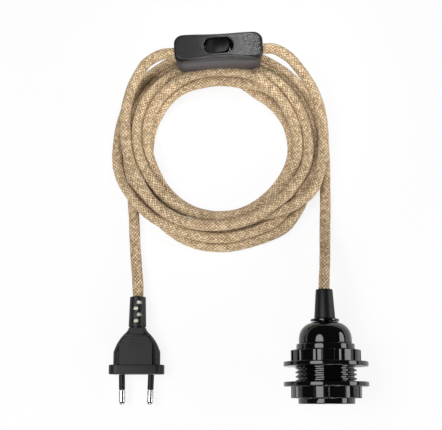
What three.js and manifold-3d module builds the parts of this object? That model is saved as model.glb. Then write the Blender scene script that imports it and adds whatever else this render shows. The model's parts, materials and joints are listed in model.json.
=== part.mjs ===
// Pendant cord set: a threaded lampholder with two shade rings, a textile cord
// wound in a coil, an inline rocker switch lying on the coil, and a flat two-pin plug.
// Millimetres, +Z up. The set lies on a table (z = 0): the lampholder lies on the
// flanges of its shade rings, with its axis along Y and its open mouth towards -Y.

import * as THREE from 'three';
import { mergeVertices } from 'three/addons/utils/BufferGeometryUtils.js';
import Module from 'manifold-3d';

const wasm = await Module();
wasm.setup();

// Clearances
const SEAT = 0.3; // between pieces that rest on or sit in each other
const RUNNING = 0.35; // between a shade ring and the thread that it runs on
const BORE_PLAY = 0.35; // around the cord where it passes through a bore

// Cord
const CORD_RADIUS = 3.5;
const CORE_RADIUS = 1.1;
const CORE_SPREAD = 1.5; // of each core from the cord's centre line
const SHEATH_RADIUS = 3.6; // inner sheath, seen in the slots of the plug's neck

// Lampholder, lengths along its axis from the mouth
const RIM_LENGTH = 3.45;
const RING_WALL_LENGTH = 7;
const FLANGE_THICKNESS = 2.9;
const SHADE_GAP = 9.3;
const COLLAR_LENGTH = 3.5;
const NECK_LENGTH = 3.2;
const CAP_HEIGHT = 13.4;
const CAP_WALL = 2;
const DISC_THICKNESS = 1.4;
const CONE_LENGTH = 18.3;

// Lampholder, radii
const THREAD_CREST = 18.8;
const THREAD_ROOT = 17.35;
const THREAD_PITCH = 2.6;
const SLEEVE_WALL = 3;
const RIM_CHAMFER = 0.6;
const COLLAR_RADIUS = 18;
const FLANGE_RADIUS = 26.1;
const RING_WALL_RADIUS = 21.6;
const FLUTES = 12;
const FLUTE_DEPTH = 0.8;
const CAP_RADIUS = 16.4;
const CAP_SQUARENESS = 2.8;
const CAP_FLATNESS = 1.02; // how far the dome's curve would rise past the flat top
const CAP_INNER_FLATNESS = 1.1;
const DISC_RADIUS = 8.85;
const STEM_RADIUS = 4.9;
const CONE_BOTTOM_RADIUS = 6.55;
const CONE_TOP_RADIUS = 5.25;
const COLLET_RADIUS = 4.6;
const COLLET_LENGTH = 11.8;
const NUT_FLATS = 12;
const NUT_THICKNESS = 2.4;

// Lamp socket inside the sleeve
const SHELL_RADIUS = 13.3; // inside the rolled thread's widest place
const SHELL_DEPTH = 1; // of the rolled thread
const SHELL_PITCH = 3.6;
const SHELL_TURNS = 6;
const SHELL_WALL = 0.4;
const INSULATOR_FLANGE = 1.4;
const INSULATOR_BOSS = 3.7;
const STRIP = 0.6;
const STRIP_WIDTH = 5;
const INSULATOR_POCKET = 5.6; // for the bent foot of the neutral strap
const TERMINAL = [5.2, 6, 5.4];
const TERMINAL_OFFSET = 8;
const SCREW_HEAD_RADIUS = 1.9;
const SCREW_HEAD = 1.3;
const SCREW_SHANK = 1.15;

// Plug
const PLUG_X = -118.4;
const PLUG_FACE_Y = -16.65;
const PLUG_WIDTH = 35.3;
const PLUG_THICKNESS = 13.7;
const PLUG_FLANGE = 5.9;
const PLUG_CORNER = 4.4; // of the flange, seen from its face
const PLUG_BODY_HALF = 14.95;
const PLUG_BODY_THICKNESS = 11.9;
const PLUG_SHOULDER = 13.5; // where the body starts to narrow
const PLUG_NECK_START = 27.8;
const PLUG_LENGTH = 49.3;
const NECK_BOTTOM_RADIUS = 5.7;
const NECK_TOP_RADIUS = 5.1;
const PANEL_HALF = 10.2;
const PANEL_END = 23;
const PANEL_RISE = 0.5;
const SLOT_LENGTHS = [3.9, 3.5, 3.9, 3.5];
const SLOT_OFFSETS = [1.4, -1.4, 1.5, -1.2];
const SLOT_HEIGHT = 1.85;
const SLOT_PITCH = 3.95;
const SLOT_TOP = 45.5;
const PIN_LENGTH = 19;
const PIN_RADIUS = 2;
const PIN_CORE_RADIUS = 1.2;
const PIN_DEPTH = 8; // inside the body
const PIN_SPACING_BASE = 18.6;
const PIN_SPACING_TIP = 17.5;
const SLEEVE_LENGTH = 10;
const SLEEVE_RADIUS = 1.95;
const SLEEVE_RECESS = 0.8; // of the plug's face around each sleeve

// Inline switch
const SWITCH_CENTRE = [-66.3, 192.3];
const SWITCH_TURN = THREE.MathUtils.degToRad(3);
const SWITCH_LENGTH = 58;
const SWITCH_WIDTH = 18.4;
const SWITCH_CORNER = 5.6;
const SWITCH_WAIST = 1;
const BASE_INSET = 0.7;
const BASE_HEIGHT = 16.6;
const COVER_SIDE = 4.6;
const COVER_CROWN = 2.4;
const HOUSING_WALL = 1.6;
const FLOOR = 1.8;
const CORD_LEVEL = 13.6; // of the cord's centre line above the base's underside
const CORD_ENTRY = 8; // how far the cord reaches into the housing
const ROCKER_OPENING = [19.2, 10.4];
const ROCKER_LENGTH = 15.8;
const ROCKER_WIDTH = 9.4;
const ROCKER_CHAMFER = 2.8;
const ROCKER_TILT = THREE.MathUtils.degToRad(11);
const ROCKER_DEPTH = 2.6; // of its underside below its pivot
const PIVOT_BELOW_TOP = 3.2;
const TRUNNION_RADIUS = 1.4;
const TRUNNION_LENGTH = 1.1;
const BRIDGE_HALF = 6;
const BRIDGE_THICKNESS = 0.5;
const BRIDGE_DIMPLE = 0.3;
const SWITCH_TERMINAL = [6, 5, 5];
const SWITCH_TERMINAL_AT = [14, -2.6];
const SWITCH_TERMINAL_TOP = 14.8;
const TONGUE = 0.6;
const CLAMP_AT = 23.4;
const CLAMP_POST = 5.3;
const CLAMP_BAR = [3.4, 12.4, 1.2];
const HOUSING_SCREW_AT = [19.4, -5.5];
const HOUSING_SCREW_SHANK = 0.95;
const HOUSING_SCREW_HEAD = 1.45;
const HOUSING_SCREW_LENGTH = 14.5;
const HOUSING_BOSS = 2.2;
const CLAMP_SCREW_SHANK = 0.9;
const CLAMP_SCREW_HEAD = 1.5;
const CLAMP_SCREW_LENGTH = 5.6;
const CLAMP_POST_RADIUS = 1.7;
const LUG = [6, 4, 9]; // that carries one trunnion of the rocker

// Coil of cord
const COIL_CENTRE = [-65.3, 132.6];
const COIL_INNER = 45;
const COIL_OUTER = 72.6;
const COIL_SQUASH = 0.97; // its depth along Y over its width
const COIL_HIGH = 16.8; // under the switch
const COIL_LOW = 14;
const COIL_SOFT = 3; // of its edges

// Roundness
const ROUND = 32;
const ROUND_SMALL = 12;
const ROUND_SHELL = 24;
const ROUND_SCREW = 8;
const ROUND_BOSS = 18;
const ROUND_GRIP = 32;
const ROUND_PIN = 20;
const ROUND_COIL = 48;
const ROUND_CORD = 10;

// Closed geometry to a solid, without repeated corners or flat slivers
function solid(geometry) {
  const bare = geometry.clone();
  bare.deleteAttribute('normal');
  bare.deleteAttribute('uv');
  const merged = mergeVertices(bare, 1e-4);
  const index = Array.from(merged.index.array);
  const corners = merged.attributes.position;
  const faces = [];
  let volume = 0;
  const a = new THREE.Vector3();
  const b = new THREE.Vector3();
  const c = new THREE.Vector3();
  for (let i = 0; i < index.length; i += 3) {
    const [p, q, r] = index.slice(i, i + 3);
    if (p === q || q === r || r === p) continue;
    faces.push([p, q, r]);
    a.fromBufferAttribute(corners, p);
    b.fromBufferAttribute(corners, q);
    c.fromBufferAttribute(corners, r);
    volume += a.dot(b.cross(c));
  }
  const triVerts = Uint32Array.from(volume > 0 ? faces.flat() : faces.map((f) => f.reverse()).flat());
  const vertProperties = Float32Array.from(corners.array);
  return new wasm.Manifold(new wasm.Mesh({ numProp: 3, vertProperties, triVerts }));
}

function geometryOf(manifold) {
  const mesh = manifold.getMesh();
  const geometry = new THREE.BufferGeometry();
  geometry.setAttribute('position', new THREE.BufferAttribute(mesh.vertProperties, 3));
  geometry.setIndex(new THREE.BufferAttribute(mesh.triVerts, 1));
  geometry.computeVertexNormals();
  return geometry;
}

// A profile of [radius, height] turned about Z
function turned(profile, segments = ROUND) {
  const points = profile.map(([r, z]) => new THREE.Vector2(Math.max(r, 0), z));
  return solid(new THREE.LatheGeometry(points, segments).rotateX(Math.PI / 2));
}

function tube(outer, inner, from, to, segments = ROUND) {
  return turned([[inner, from], [outer, from], [outer, to], [inner, to], [inner, from]], segments);
}

function rod(radius, from, to, segments = ROUND_SMALL) {
  return turned([[0, from], [radius, from], [radius, to], [0, to]], segments);
}

function block(size, centre) {
  return solid(new THREE.BoxGeometry(...size).translate(...centre));
}

// An outline of [x, y] drawn upwards from one height to another
function prism(outline, from, to) {
  const shape = new THREE.Shape(outline.map(([x, y]) => new THREE.Vector2(x, y)));
  const geometry = new THREE.ExtrudeGeometry(shape, { depth: to - from, bevelEnabled: false });
  return solid(geometry.translate(0, 0, from));
}

// An outline of [x, z] drawn along Y, centred on y = 0 or on the y given
function slab(outline, width, y = 0) {
  return prism(outline.map(([x, z]) => [x, -z]), -width / 2, width / 2)
    .rotate([-90, 0, 0])
    .translate([0, y, 0]);
}

// An outline of [y, z] drawn along X, centred on x = 0
function crosswise(outline, width) {
  return prism(outline.map(([y, z]) => [-z, y]), -width / 2, width / 2).rotate([0, 90, 0]);
}

// A round cord or wire along points, with plain ends
function cordSolid(points, radius, steps, sides = ROUND_CORD) {
  const path = new THREE.CatmullRomCurve3(points.map((p) => new THREE.Vector3(...p)), false, 'centripetal');
  const ring = [];
  for (let i = 0; i < sides; i += 1) {
    const angle = (2 * Math.PI * i) / sides;
    ring.push(new THREE.Vector2(radius * Math.cos(angle), radius * Math.sin(angle)));
  }
  const shape = new THREE.Shape(ring);
  return solid(new THREE.ExtrudeGeometry(shape, { steps, extrudePath: path, bevelEnabled: false }));
}

// Materials, by finish
const finishes = {
  glossBlack: { color: 0x0a0a0c, roughness: 0.08, metalness: 0 },
  satinBlack: { color: 0x1e1e20, roughness: 0.45, metalness: 0 },
  plugBlack: { color: 0x2b2b2d, roughness: 0.5, metalness: 0 },
  housingBlack: { color: 0x333236, roughness: 0.5, metalness: 0 },
  insulator: { color: 0xd8d2c4, roughness: 0.6, metalness: 0 },
  brass: { color: 0xb8923f, roughness: 0.3, metalness: 1 },
  nickel: { color: 0xc9c9c6, roughness: 0.2, metalness: 1 },
  steel: { color: 0x8f9194, roughness: 0.35, metalness: 1 },
  jute: { color: 0xbe9f74, roughness: 0.9, metalness: 0 },
  brownCore: { color: 0x5a3320, roughness: 0.5, metalness: 0 },
  blueCore: { color: 0x2f57a0, roughness: 0.5, metalness: 0 },
  creamSheath: { color: 0xe9e2d0, roughness: 0.6, metalness: 0 },
};
const materials = Object.fromEntries(
  Object.entries(finishes).map(([name, look]) => [name, new THREE.MeshStandardMaterial(look)]),
);

function piece(name, finish, manifold) {
  const mesh = new THREE.Mesh(geometryOf(manifold), materials[finish]);
  mesh.name = name;
  return mesh;
}

// Places along the lampholder's axis
const lowerRingStart = RIM_LENGTH;
const lowerRingEnd = lowerRingStart + RING_WALL_LENGTH + FLANGE_THICKNESS;
const upperRingStart = lowerRingEnd + SHADE_GAP;
const upperRingEnd = upperRingStart + FLANGE_THICKNESS + RING_WALL_LENGTH;
const collarStart = upperRingEnd + SEAT;
const collarEnd = collarStart + COLLAR_LENGTH;
const neckEnd = collarEnd + NECK_LENGTH;
const capStart = collarEnd + SEAT;
const capEnd = capStart + CAP_HEIGHT;
const discStart = capEnd + SEAT;
const discEnd = discStart + DISC_THICKNESS;
const coneStart = discEnd + SEAT;
const holderLength = coneStart + CONE_LENGTH;

// Radii inside the lampholder
const sleeveBore = THREAD_ROOT - SLEEVE_WALL;
const capBore = CAP_RADIUS - CAP_WALL;
const neckRadius = capBore - SEAT;
const neckBore = neckRadius - 1.4;
const cordBore = CORD_RADIUS + BORE_PLAY;

// Heights of the insulator and what stands on it
const shoulder = collarEnd - 1.2;
const insulatorFace = shoulder - SEAT - INSULATOR_FLANGE;
const insulatorTop = insulatorFace + INSULATOR_FLANGE + INSULATOR_BOSS;
const terminalBase = insulatorTop + SEAT;
const cordEndInCap = terminalBase + TERMINAL[2] + 1.2;

function threadedSleeve() {
  const outside = [[sleeveBore, 0], [THREAD_ROOT - RIM_CHAMFER, 0], [THREAD_ROOT, RIM_CHAMFER]];
  const threadLength = collarStart - RIM_LENGTH;
  const turns = Math.floor(threadLength / THREAD_PITCH);
  for (let i = 0; i < turns; i += 1) {
    const z = RIM_LENGTH + i * THREAD_PITCH;
    outside.push([THREAD_ROOT, z], [THREAD_CREST, z + THREAD_PITCH / 2]);
  }
  outside.push([THREAD_ROOT, RIM_LENGTH + turns * THREAD_PITCH], [THREAD_ROOT, collarStart]);
  outside.push([COLLAR_RADIUS, collarStart], [COLLAR_RADIUS, collarEnd - RIM_CHAMFER]);
  outside.push([COLLAR_RADIUS - RIM_CHAMFER, collarEnd], [neckRadius, collarEnd]);
  outside.push([neckRadius, neckEnd], [neckBore, neckEnd], [neckBore, shoulder]);
  outside.push([sleeveBore, shoulder], [sleeveBore, 0]);
  return turned(outside);
}

// A shade ring: flange at z = 0, fluted wall above it
function shadeRing() {
  const edge = FLANGE_THICKNESS / 4;
  const bore = THREAD_CREST + RUNNING;
  const flange = turned([
    [bore, 0], [FLANGE_RADIUS - edge, 0], [FLANGE_RADIUS, edge],
    [FLANGE_RADIUS, FLANGE_THICKNESS - edge], [FLANGE_RADIUS - edge, FLANGE_THICKNESS],
    [bore, FLANGE_THICKNESS], [bore, 0],
  ]);
  const outline = [];
  for (let i = 0; i < FLUTES; i += 1) {
    const middle = (2 * Math.PI * i) / FLUTES;
    const half = Math.PI / FLUTES;
    const corners = [[-0.75, 0], [-0.1, 0], [0.55, 0], [0.75, FLUTE_DEPTH], [1, FLUTE_DEPTH]];
    for (const [share, depth] of corners) {
      const angle = middle + share * half;
      const radius = RING_WALL_RADIUS - depth;
      outline.push([radius * Math.cos(angle), radius * Math.sin(angle)]);
    }
  }
  const top = FLANGE_THICKNESS + RING_WALL_LENGTH;
  const wall = prism(outline, FLANGE_THICKNESS / 2, top);
  const hole = rod(bore, -1, top + 1, ROUND);
  return flange.add(wall.subtract(hole));
}

// Radius of the cap's outside at a height above its lower edge
function capOutside(height, radius, crown) {
  const share = Math.min(height / crown, 1);
  return radius * (1 - share ** CAP_SQUARENESS) ** (1 / CAP_SQUARENESS);
}

function cap() {
  const crown = CAP_HEIGHT * CAP_FLATNESS;
  const stepsUp = 8;
  const hole = STEM_RADIUS + SEAT;
  const outside = [[capBore, capStart], [CAP_RADIUS - 0.3, capStart]];
  for (let i = 1; i <= stepsUp; i += 1) {
    const height = CAP_HEIGHT * Math.sin((i / stepsUp) * (Math.PI / 2));
    outside.push([capOutside(height, CAP_RADIUS, crown), capStart + height]);
  }
  const straight = NECK_LENGTH + SEAT;
  const domed = CAP_HEIGHT - CAP_WALL - straight;
  const inside = [];
  for (let i = 0; i <= stepsUp / 2; i += 1) {
    const height = domed * Math.sin((i / (stepsUp / 2)) * (Math.PI / 2));
    const radius = capOutside(height, capBore, domed * CAP_INNER_FLATNESS);
    inside.push([Math.max(radius, hole), capStart + straight + height]);
  }
  const innerTop = capEnd - CAP_WALL;
  return turned([...outside, [hole, capEnd], [hole, innerTop], ...inside.reverse(), [capBore, capStart]]);
}

function gripNipple() {
  const colletEnd = discEnd + COLLET_LENGTH;
  const body = turned([
    [cordBore, cordEndInCap], [STEM_RADIUS, cordEndInCap], [STEM_RADIUS, discStart],
    [DISC_RADIUS, discStart], [DISC_RADIUS, discEnd - 0.4], [DISC_RADIUS - 0.4, discEnd],
    [COLLET_RADIUS, discEnd], [COLLET_RADIUS, colletEnd], [cordBore, colletEnd],
    [cordBore, cordEndInCap],
  ], ROUND_GRIP);
  const slot = block([2.4 * COLLET_RADIUS, 1, COLLET_LENGTH], [0, 0, colletEnd - COLLET_LENGTH / 6]);
  return body.subtract(slot).subtract(slot.rotate([0, 0, 90]));
}

function gripCone() {
  const colletSpace = coneStart + COLLET_LENGTH + SEAT;
  const inner = COLLET_RADIUS + SEAT;
  return turned([
    [inner, coneStart], [CONE_BOTTOM_RADIUS, coneStart], [CONE_TOP_RADIUS, holderLength - 0.5],
    [CONE_TOP_RADIUS - 0.4, holderLength], [cordBore, holderLength],
    [cordBore, colletSpace + 2], [inner, colletSpace], [inner, coneStart],
  ], ROUND_GRIP);
}

function gripNut() {
  const corner = NUT_FLATS / 2 / Math.cos(Math.PI / 6);
  const top = capEnd - CAP_WALL - SEAT;
  const hexagon = [];
  for (let i = 0; i < 6; i += 1) {
    const angle = (i * Math.PI) / 3;
    hexagon.push([corner * Math.cos(angle), corner * Math.sin(angle)]);
  }
  const hole = rod(STEM_RADIUS + SEAT, top - NUT_THICKNESS - 1, top + 1, 24);
  return prism(hexagon, top - NUT_THICKNESS, top).subtract(hole);
}

const shellEnd = insulatorFace - STRIP - SEAT * 1.5;

function screwShell() {
  const start = shellEnd - SHELL_TURNS * SHELL_PITCH - SHELL_WALL;
  const outside = [];
  const inside = [];
  for (let i = 0; i <= SHELL_TURNS * 2; i += 1) {
    const radius = SHELL_RADIUS - (i % 2) * SHELL_DEPTH;
    const z = start + (i * SHELL_PITCH) / 2;
    outside.push([radius + SHELL_WALL, z]);
    inside.push([radius, z]);
  }
  const seat = SHELL_RADIUS - 4;
  return turned([
    ...outside, [SHELL_RADIUS + SHELL_WALL, shellEnd], [seat, shellEnd],
    [seat, shellEnd - SHELL_WALL], ...inside.reverse(), outside[0],
  ], ROUND_SHELL);
}

const pocketDepth = STRIP + SEAT;

function insulator() {
  const flangeTop = insulatorFace + INSULATOR_FLANGE;
  const body = turned([
    [0, insulatorFace], [sleeveBore - SEAT, insulatorFace], [sleeveBore - SEAT, flangeTop],
    [neckBore - SEAT, flangeTop], [neckBore - SEAT, insulatorTop], [0, insulatorTop],
  ]);
  const slotSize = [STRIP + 2 * SEAT, STRIP_WIDTH + 2 * SEAT, 20];
  const liveSlot = block(slotSize, [TERMINAL_OFFSET, 0, insulatorFace]);
  const neutralSlot = block(slotSize, [-TERMINAL_OFFSET, 0, insulatorFace]);
  const pocketSize = [INSULATOR_POCKET, STRIP_WIDTH + 2 * SEAT, 2 * pocketDepth];
  const pocket = block(pocketSize, [-TERMINAL_OFFSET - 2, 0, insulatorFace]);
  return body.subtract(liveSlot).subtract(neutralSlot).subtract(pocket);
}

// Bent strip: a leg through the insulator and a tongue over its middle
function centreContact() {
  const front = insulatorFace - SEAT;
  const right = TERMINAL_OFFSET + STRIP / 2;
  const left = TERMINAL_OFFSET - STRIP / 2;
  return slab([
    [right, front - STRIP], [right, insulatorTop], [left, insulatorTop], [left, front],
    [3.4, front], [-2.6, front - 3], [-3.6, front - 2.6], [-3.8, front - 3.2],
    [-2.4, front - 3.8], [3.6, front - STRIP],
  ], STRIP_WIDTH - 1);
}

function neutralStrap() {
  const bottom = insulatorFace - STRIP / 2 - SEAT / 2;
  const right = -TERMINAL_OFFSET + STRIP / 2;
  const left = -TERMINAL_OFFSET - STRIP / 2;
  return slab([
    [left - 3.6, bottom], [right, bottom], [right, insulatorTop], [left, insulatorTop],
    [left, bottom + STRIP], [left - 3.6, bottom + STRIP],
  ], STRIP_WIDTH);
}

// Terminal block with a hole for the core in its inner face and one for its screw
function holderTerminal(side) {
  const middle = terminalBase + TERMINAL[2] / 2;
  const body = block(TERMINAL, [side * TERMINAL_OFFSET, 0, middle]);
  const coreHole = rod(CORE_RADIUS + SEAT, -2, 2).rotate([0, 90, 0])
    .translate([side * (TERMINAL_OFFSET - TERMINAL[0] / 2), 0, middle]);
  const screwHole = rod(SCREW_SHANK + SEAT, -TERMINAL[1], 1.5).rotate([-90, 0, 0])
    .translate([side * (TERMINAL_OFFSET + 0.7), 0, middle]);
  return body.subtract(coreHole).subtract(screwHole);
}

// A slotted screw with its head's underside at z = 0 and its shank below
function screw(length, shank = SCREW_SHANK, head = SCREW_HEAD_RADIUS) {
  const body = turned([
    [0, -length], [shank, -length], [shank, 0], [head, 0],
    [head, SCREW_HEAD * 0.7], [head * 0.8, SCREW_HEAD], [0, SCREW_HEAD],
  ], ROUND_SCREW);
  return body.subtract(block([2.4 * head, 0.6, 1], [0, 0, SCREW_HEAD]));
}

function holderTerminalScrew(side) {
  const middle = terminalBase + TERMINAL[2] / 2;
  return screw(TERMINAL[1] / 2 + 0.8).rotate([90, 0, 0])
    .translate([side * (TERMINAL_OFFSET + 0.7), -TERMINAL[1] / 2 - SEAT, middle]);
}

function holderCore(side) {
  const middle = terminalBase + TERMINAL[2] / 2;
  const face = TERMINAL_OFFSET - TERMINAL[0] / 2;
  const top = cordEndInCap + 0.6;
  return cordSolid([
    [side * CORE_SPREAD, 0, top], [side * CORE_SPREAD, 0, top - 1.2],
    [side * (CORE_SPREAD + 1), 0, middle + 1.2], [side * (face - 1.2), 0, middle],
    [side * (face + 1.4), 0, middle],
  ], CORE_RADIUS, 9, 8);
}

// Lampholder with its axis along Z, mouth at z = 0, then laid down
function lampholder() {
  const group = new THREE.Group();
  const lower = shadeRing().rotate([180, 0, 0]).translate([0, 0, lowerRingEnd]);
  const upper = shadeRing().rotate([0, 0, 180 / FLUTES]).translate([0, 0, upperRingStart]);
  group.add(
    piece('holder_threaded_sleeve', 'glossBlack', threadedSleeve()),
    piece('holder_cap', 'glossBlack', cap()),
    piece('shade_ring_lower', 'glossBlack', lower),
    piece('shade_ring_upper', 'glossBlack', upper),
    piece('cord_grip_nipple', 'glossBlack', gripNipple()),
    piece('cord_grip_cone', 'satinBlack', gripCone()),
    piece('cord_grip_nut', 'steel', gripNut()),
    piece('holder_insulator', 'insulator', insulator()),
    piece('holder_screw_shell', 'brass', screwShell()),
    piece('holder_centre_contact', 'brass', centreContact()),
    piece('holder_neutral_strap', 'brass', neutralStrap()),
    piece('holder_terminal_live', 'brass', holderTerminal(1)),
    piece('holder_terminal_neutral', 'brass', holderTerminal(-1)),
    piece('holder_terminal_screw_live', 'steel', holderTerminalScrew(1)),
    piece('holder_terminal_screw_neutral', 'steel', holderTerminalScrew(-1)),
    piece('holder_core_live', 'brownCore', holderCore(1)),
    piece('holder_core_neutral', 'blueCore', holderCore(-1)),
  );
  group.rotation.x = -Math.PI / 2;
  group.position.set(0, -holderLength / 2, FLANGE_RADIUS);
  return group;
}

// Plug, from its face at y = 0 towards its neck at +Y, lying flat
const plugBore = SHEATH_RADIUS + SEAT;

function neckRadiusAt(y) {
  const share = (y - PLUG_NECK_START) / (PLUG_LENGTH - PLUG_NECK_START);
  return NECK_BOTTOM_RADIUS + (NECK_TOP_RADIUS - NECK_BOTTOM_RADIUS) * share;
}

function mirrored(half) {
  return [...half, ...half.map(([x, y]) => [-x, y]).reverse()];
}

function plugBody() {
  const wide = PLUG_WIDTH / 2;
  const body = PLUG_BODY_HALF;
  const front = prism(mirrored([
    [wide, 0], [wide, PLUG_FLANGE - 0.6], [wide - 0.6, PLUG_FLANGE], [body, PLUG_FLANGE],
    [body, PLUG_SHOULDER], [body * 0.955, PLUG_SHOULDER + 2], [body * 0.89, PLUG_SHOULDER + 4.6],
    [body * 0.745, PLUG_SHOULDER + 8.4], [body * 0.575, PLUG_SHOULDER + 11.6],
    [body * 0.49, PLUG_SHOULDER + 12.8], [body * 0.445, PLUG_NECK_START],
    [body * 0.425, PLUG_NECK_START + 1.2],
  ]), -PLUG_THICKNESS, PLUG_THICKNESS);
  const deep = PLUG_THICKNESS / 2;
  const shallow = PLUG_BODY_THICKNESS / 2;
  const sides = [[deep, 0], [deep, PLUG_FLANGE - 0.6], [deep - 0.6, PLUG_FLANGE],
    [shallow, PLUG_FLANGE], [shallow, PLUG_SHOULDER], [NECK_BOTTOM_RADIUS - 0.5, PLUG_NECK_START + 1.2]];
  const side = crosswise(mirrored(sides).map(([z, y]) => [y, z]), 2 * PLUG_WIDTH);
  const corner = PLUG_CORNER;
  const faceHalf = [
    [wide, -deep + corner], [wide, deep - corner],
    [wide - 0.3 * corner, deep - 0.3 * corner], [wide - corner, deep],
  ];
  const face = mirrored(faceHalf).concat(mirrored(faceHalf.slice(2).reverse().map(([x, z]) => [-x, -z])));
  const ends = slab(convexLoop(face), 3 * PLUG_LENGTH);
  const panelTop = shallow + PANEL_RISE;
  const panelLength = PANEL_END - PLUG_FLANGE + 1;
  const panel = block([2 * PANEL_HALF, panelLength, 2 * panelTop], [0, PLUG_FLANGE - 1 + panelLength / 2, 0]);
  return front.intersect(side).intersect(ends).add(panel.intersect(front));
}

// Corner points put in order around their middle
function convexLoop(points) {
  return [...points].sort((a, b) => Math.atan2(a[1], a[0]) - Math.atan2(b[1], b[0]));
}

function plugNeck() {
  const start = PLUG_NECK_START - 2;
  return turned([
    [0, start], [NECK_BOTTOM_RADIUS, start], [NECK_BOTTOM_RADIUS, PLUG_NECK_START],
    [NECK_TOP_RADIUS, PLUG_LENGTH], [0, PLUG_LENGTH],
  ], 28).rotate([-90, 0, 0]);
}

function plugSlots() {
  let cuts = rod(plugBore, PLUG_NECK_START + 0.6, PLUG_LENGTH + 1, 24).rotate([-90, 0, 0]);
  SLOT_LENGTHS.forEach((length, i) => {
    const y = SLOT_TOP - i * SLOT_PITCH;
    cuts = cuts.add(block([length, SLOT_HEIGHT, 3 * neckRadiusAt(y)], [SLOT_OFFSETS[i], y, 0]));
  });
  return cuts;
}

// A pin's parts stand along -Y at x = 0, then lean inwards to their side
function leaned(manifold, side) {
  const lean = THREE.MathUtils.radToDeg(Math.atan((PIN_SPACING_BASE - PIN_SPACING_TIP) / 2 / PIN_LENGTH));
  return manifold.rotate([0, 0, -side * lean]).translate([(side * PIN_SPACING_BASE) / 2, 0, 0]);
}

function pin(side) {
  const end = PIN_RADIUS * 0.55;
  return leaned(turned([
    [0, -PIN_DEPTH], [PIN_CORE_RADIUS, -PIN_DEPTH], [PIN_CORE_RADIUS, SLEEVE_LENGTH],
    [PIN_RADIUS, SLEEVE_LENGTH], [PIN_RADIUS, PIN_LENGTH - end * 1.2],
    [PIN_RADIUS * 0.85, PIN_LENGTH - end * 0.45], [PIN_RADIUS * 0.5, PIN_LENGTH], [0, PIN_LENGTH],
  ], ROUND_PIN).rotate([90, 0, 0]), side);
}

function pinSleeve(side) {
  const bore = PIN_CORE_RADIUS + SEAT;
  return leaned(tube(SLEEVE_RADIUS, bore, SEAT, SLEEVE_LENGTH - SEAT, ROUND_PIN).rotate([90, 0, 0]), side);
}

function pinHole(side) {
  const hole = rod(PIN_CORE_RADIUS + SEAT, -PIN_DEPTH - SEAT, 1);
  const recess = rod(SLEEVE_RADIUS + SEAT, -SLEEVE_RECESS, 1, ROUND_PIN);
  return leaned(hole.add(recess).rotate([90, 0, 0]), side);
}

function plug() {
  const group = new THREE.Group();
  const body = plugBody().add(plugNeck()).subtract(plugSlots()).subtract(pinHole(1)).subtract(pinHole(-1));
  const sheath = rod(SHEATH_RADIUS, PLUG_NECK_START + 0.6 + SEAT, PLUG_LENGTH, ROUND_PIN).rotate([-90, 0, 0]);
  group.add(
    piece('plug_body', 'plugBlack', body),
    piece('plug_pin_left', 'nickel', pin(-1)),
    piece('plug_pin_right', 'nickel', pin(1)),
    piece('plug_pin_sleeve_left', 'satinBlack', pinSleeve(-1)),
    piece('plug_pin_sleeve_right', 'satinBlack', pinSleeve(1)),
    piece('plug_cord_sheath', 'creamSheath', sheath),
  );
  group.position.set(PLUG_X, PLUG_FACE_Y, PLUG_THICKNESS / 2);
  return group;
}

// Switch outline: rounded corners and long sides drawn in at the middle
function switchOutline(inset) {
  const half = [SWITCH_LENGTH / 2 - inset, SWITCH_WIDTH / 2 - inset];
  const corner = Math.max(SWITCH_CORNER - inset, 0.6);
  const outline = [];
  const quarter = [[1, 1, 0], [-1, 1, 1], [-1, -1, 2], [1, -1, 3]];
  for (const [sx, sy, turn] of quarter) {
    for (let i = 0; i <= 4; i += 1) {
      const angle = ((turn + i / 4) * Math.PI) / 2;
      const x = sx * (half[0] - corner) + corner * Math.cos(angle);
      const y = sy * (half[1] - corner) + corner * Math.sin(angle);
      outline.push([x, y]);
    }
    if (turn % 2 === 0) {
      for (const share of [0.6, 0.3, 0, -0.3, -0.6]) {
        const x = sy * share * (half[0] - corner);
        outline.push([x, sy * (half[1] - SWITCH_WAIST * (1 - share * share))]);
      }
    }
  }
  return outline;
}

const coverStart = BASE_HEIGHT + SEAT;
const coverEdge = coverStart + COVER_SIDE;
const coverTop = coverEdge + COVER_CROWN;
const pivotHeight = coverTop - PIVOT_BELOW_TOP;
const cordEntryX = SWITCH_LENGTH / 2 - CORD_ENTRY;
const bridgeDrop = ROCKER_DEPTH + SEAT;
const coreLevel = SWITCH_TERMINAL_TOP - 3.1;

// Side view of the cover's crown, dropped by an inset
function crownOutline(inset) {
  const points = [];
  const half = SWITCH_LENGTH / 2 + 2;
  for (let i = 0; i <= 12; i += 1) {
    const x = half - (2 * half * i) / 12;
    const share = Math.min(Math.abs(x) / (SWITCH_LENGTH / 2), 1);
    points.push([x, coverEdge + COVER_CROWN * (1 - share * share) - inset]);
  }
  return [[-half, -1], [half, -1], ...points];
}

function cordOpenings() {
  return rod(CORD_RADIUS + BORE_PLAY, -SWITCH_LENGTH, SWITCH_LENGTH, 24)
    .rotate([0, 90, 0]).translate([0, 0, CORD_LEVEL]);
}

// The cord's openings also reach straight up to the parting line, so the halves part
function cordSlots() {
  const height = BASE_HEIGHT - CORD_LEVEL + 1;
  const width = 2 * (CORD_RADIUS + BORE_PLAY);
  return cordOpenings().add(block([2 * SWITCH_LENGTH, width, height], [0, 0, CORD_LEVEL + height / 2]));
}

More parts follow.
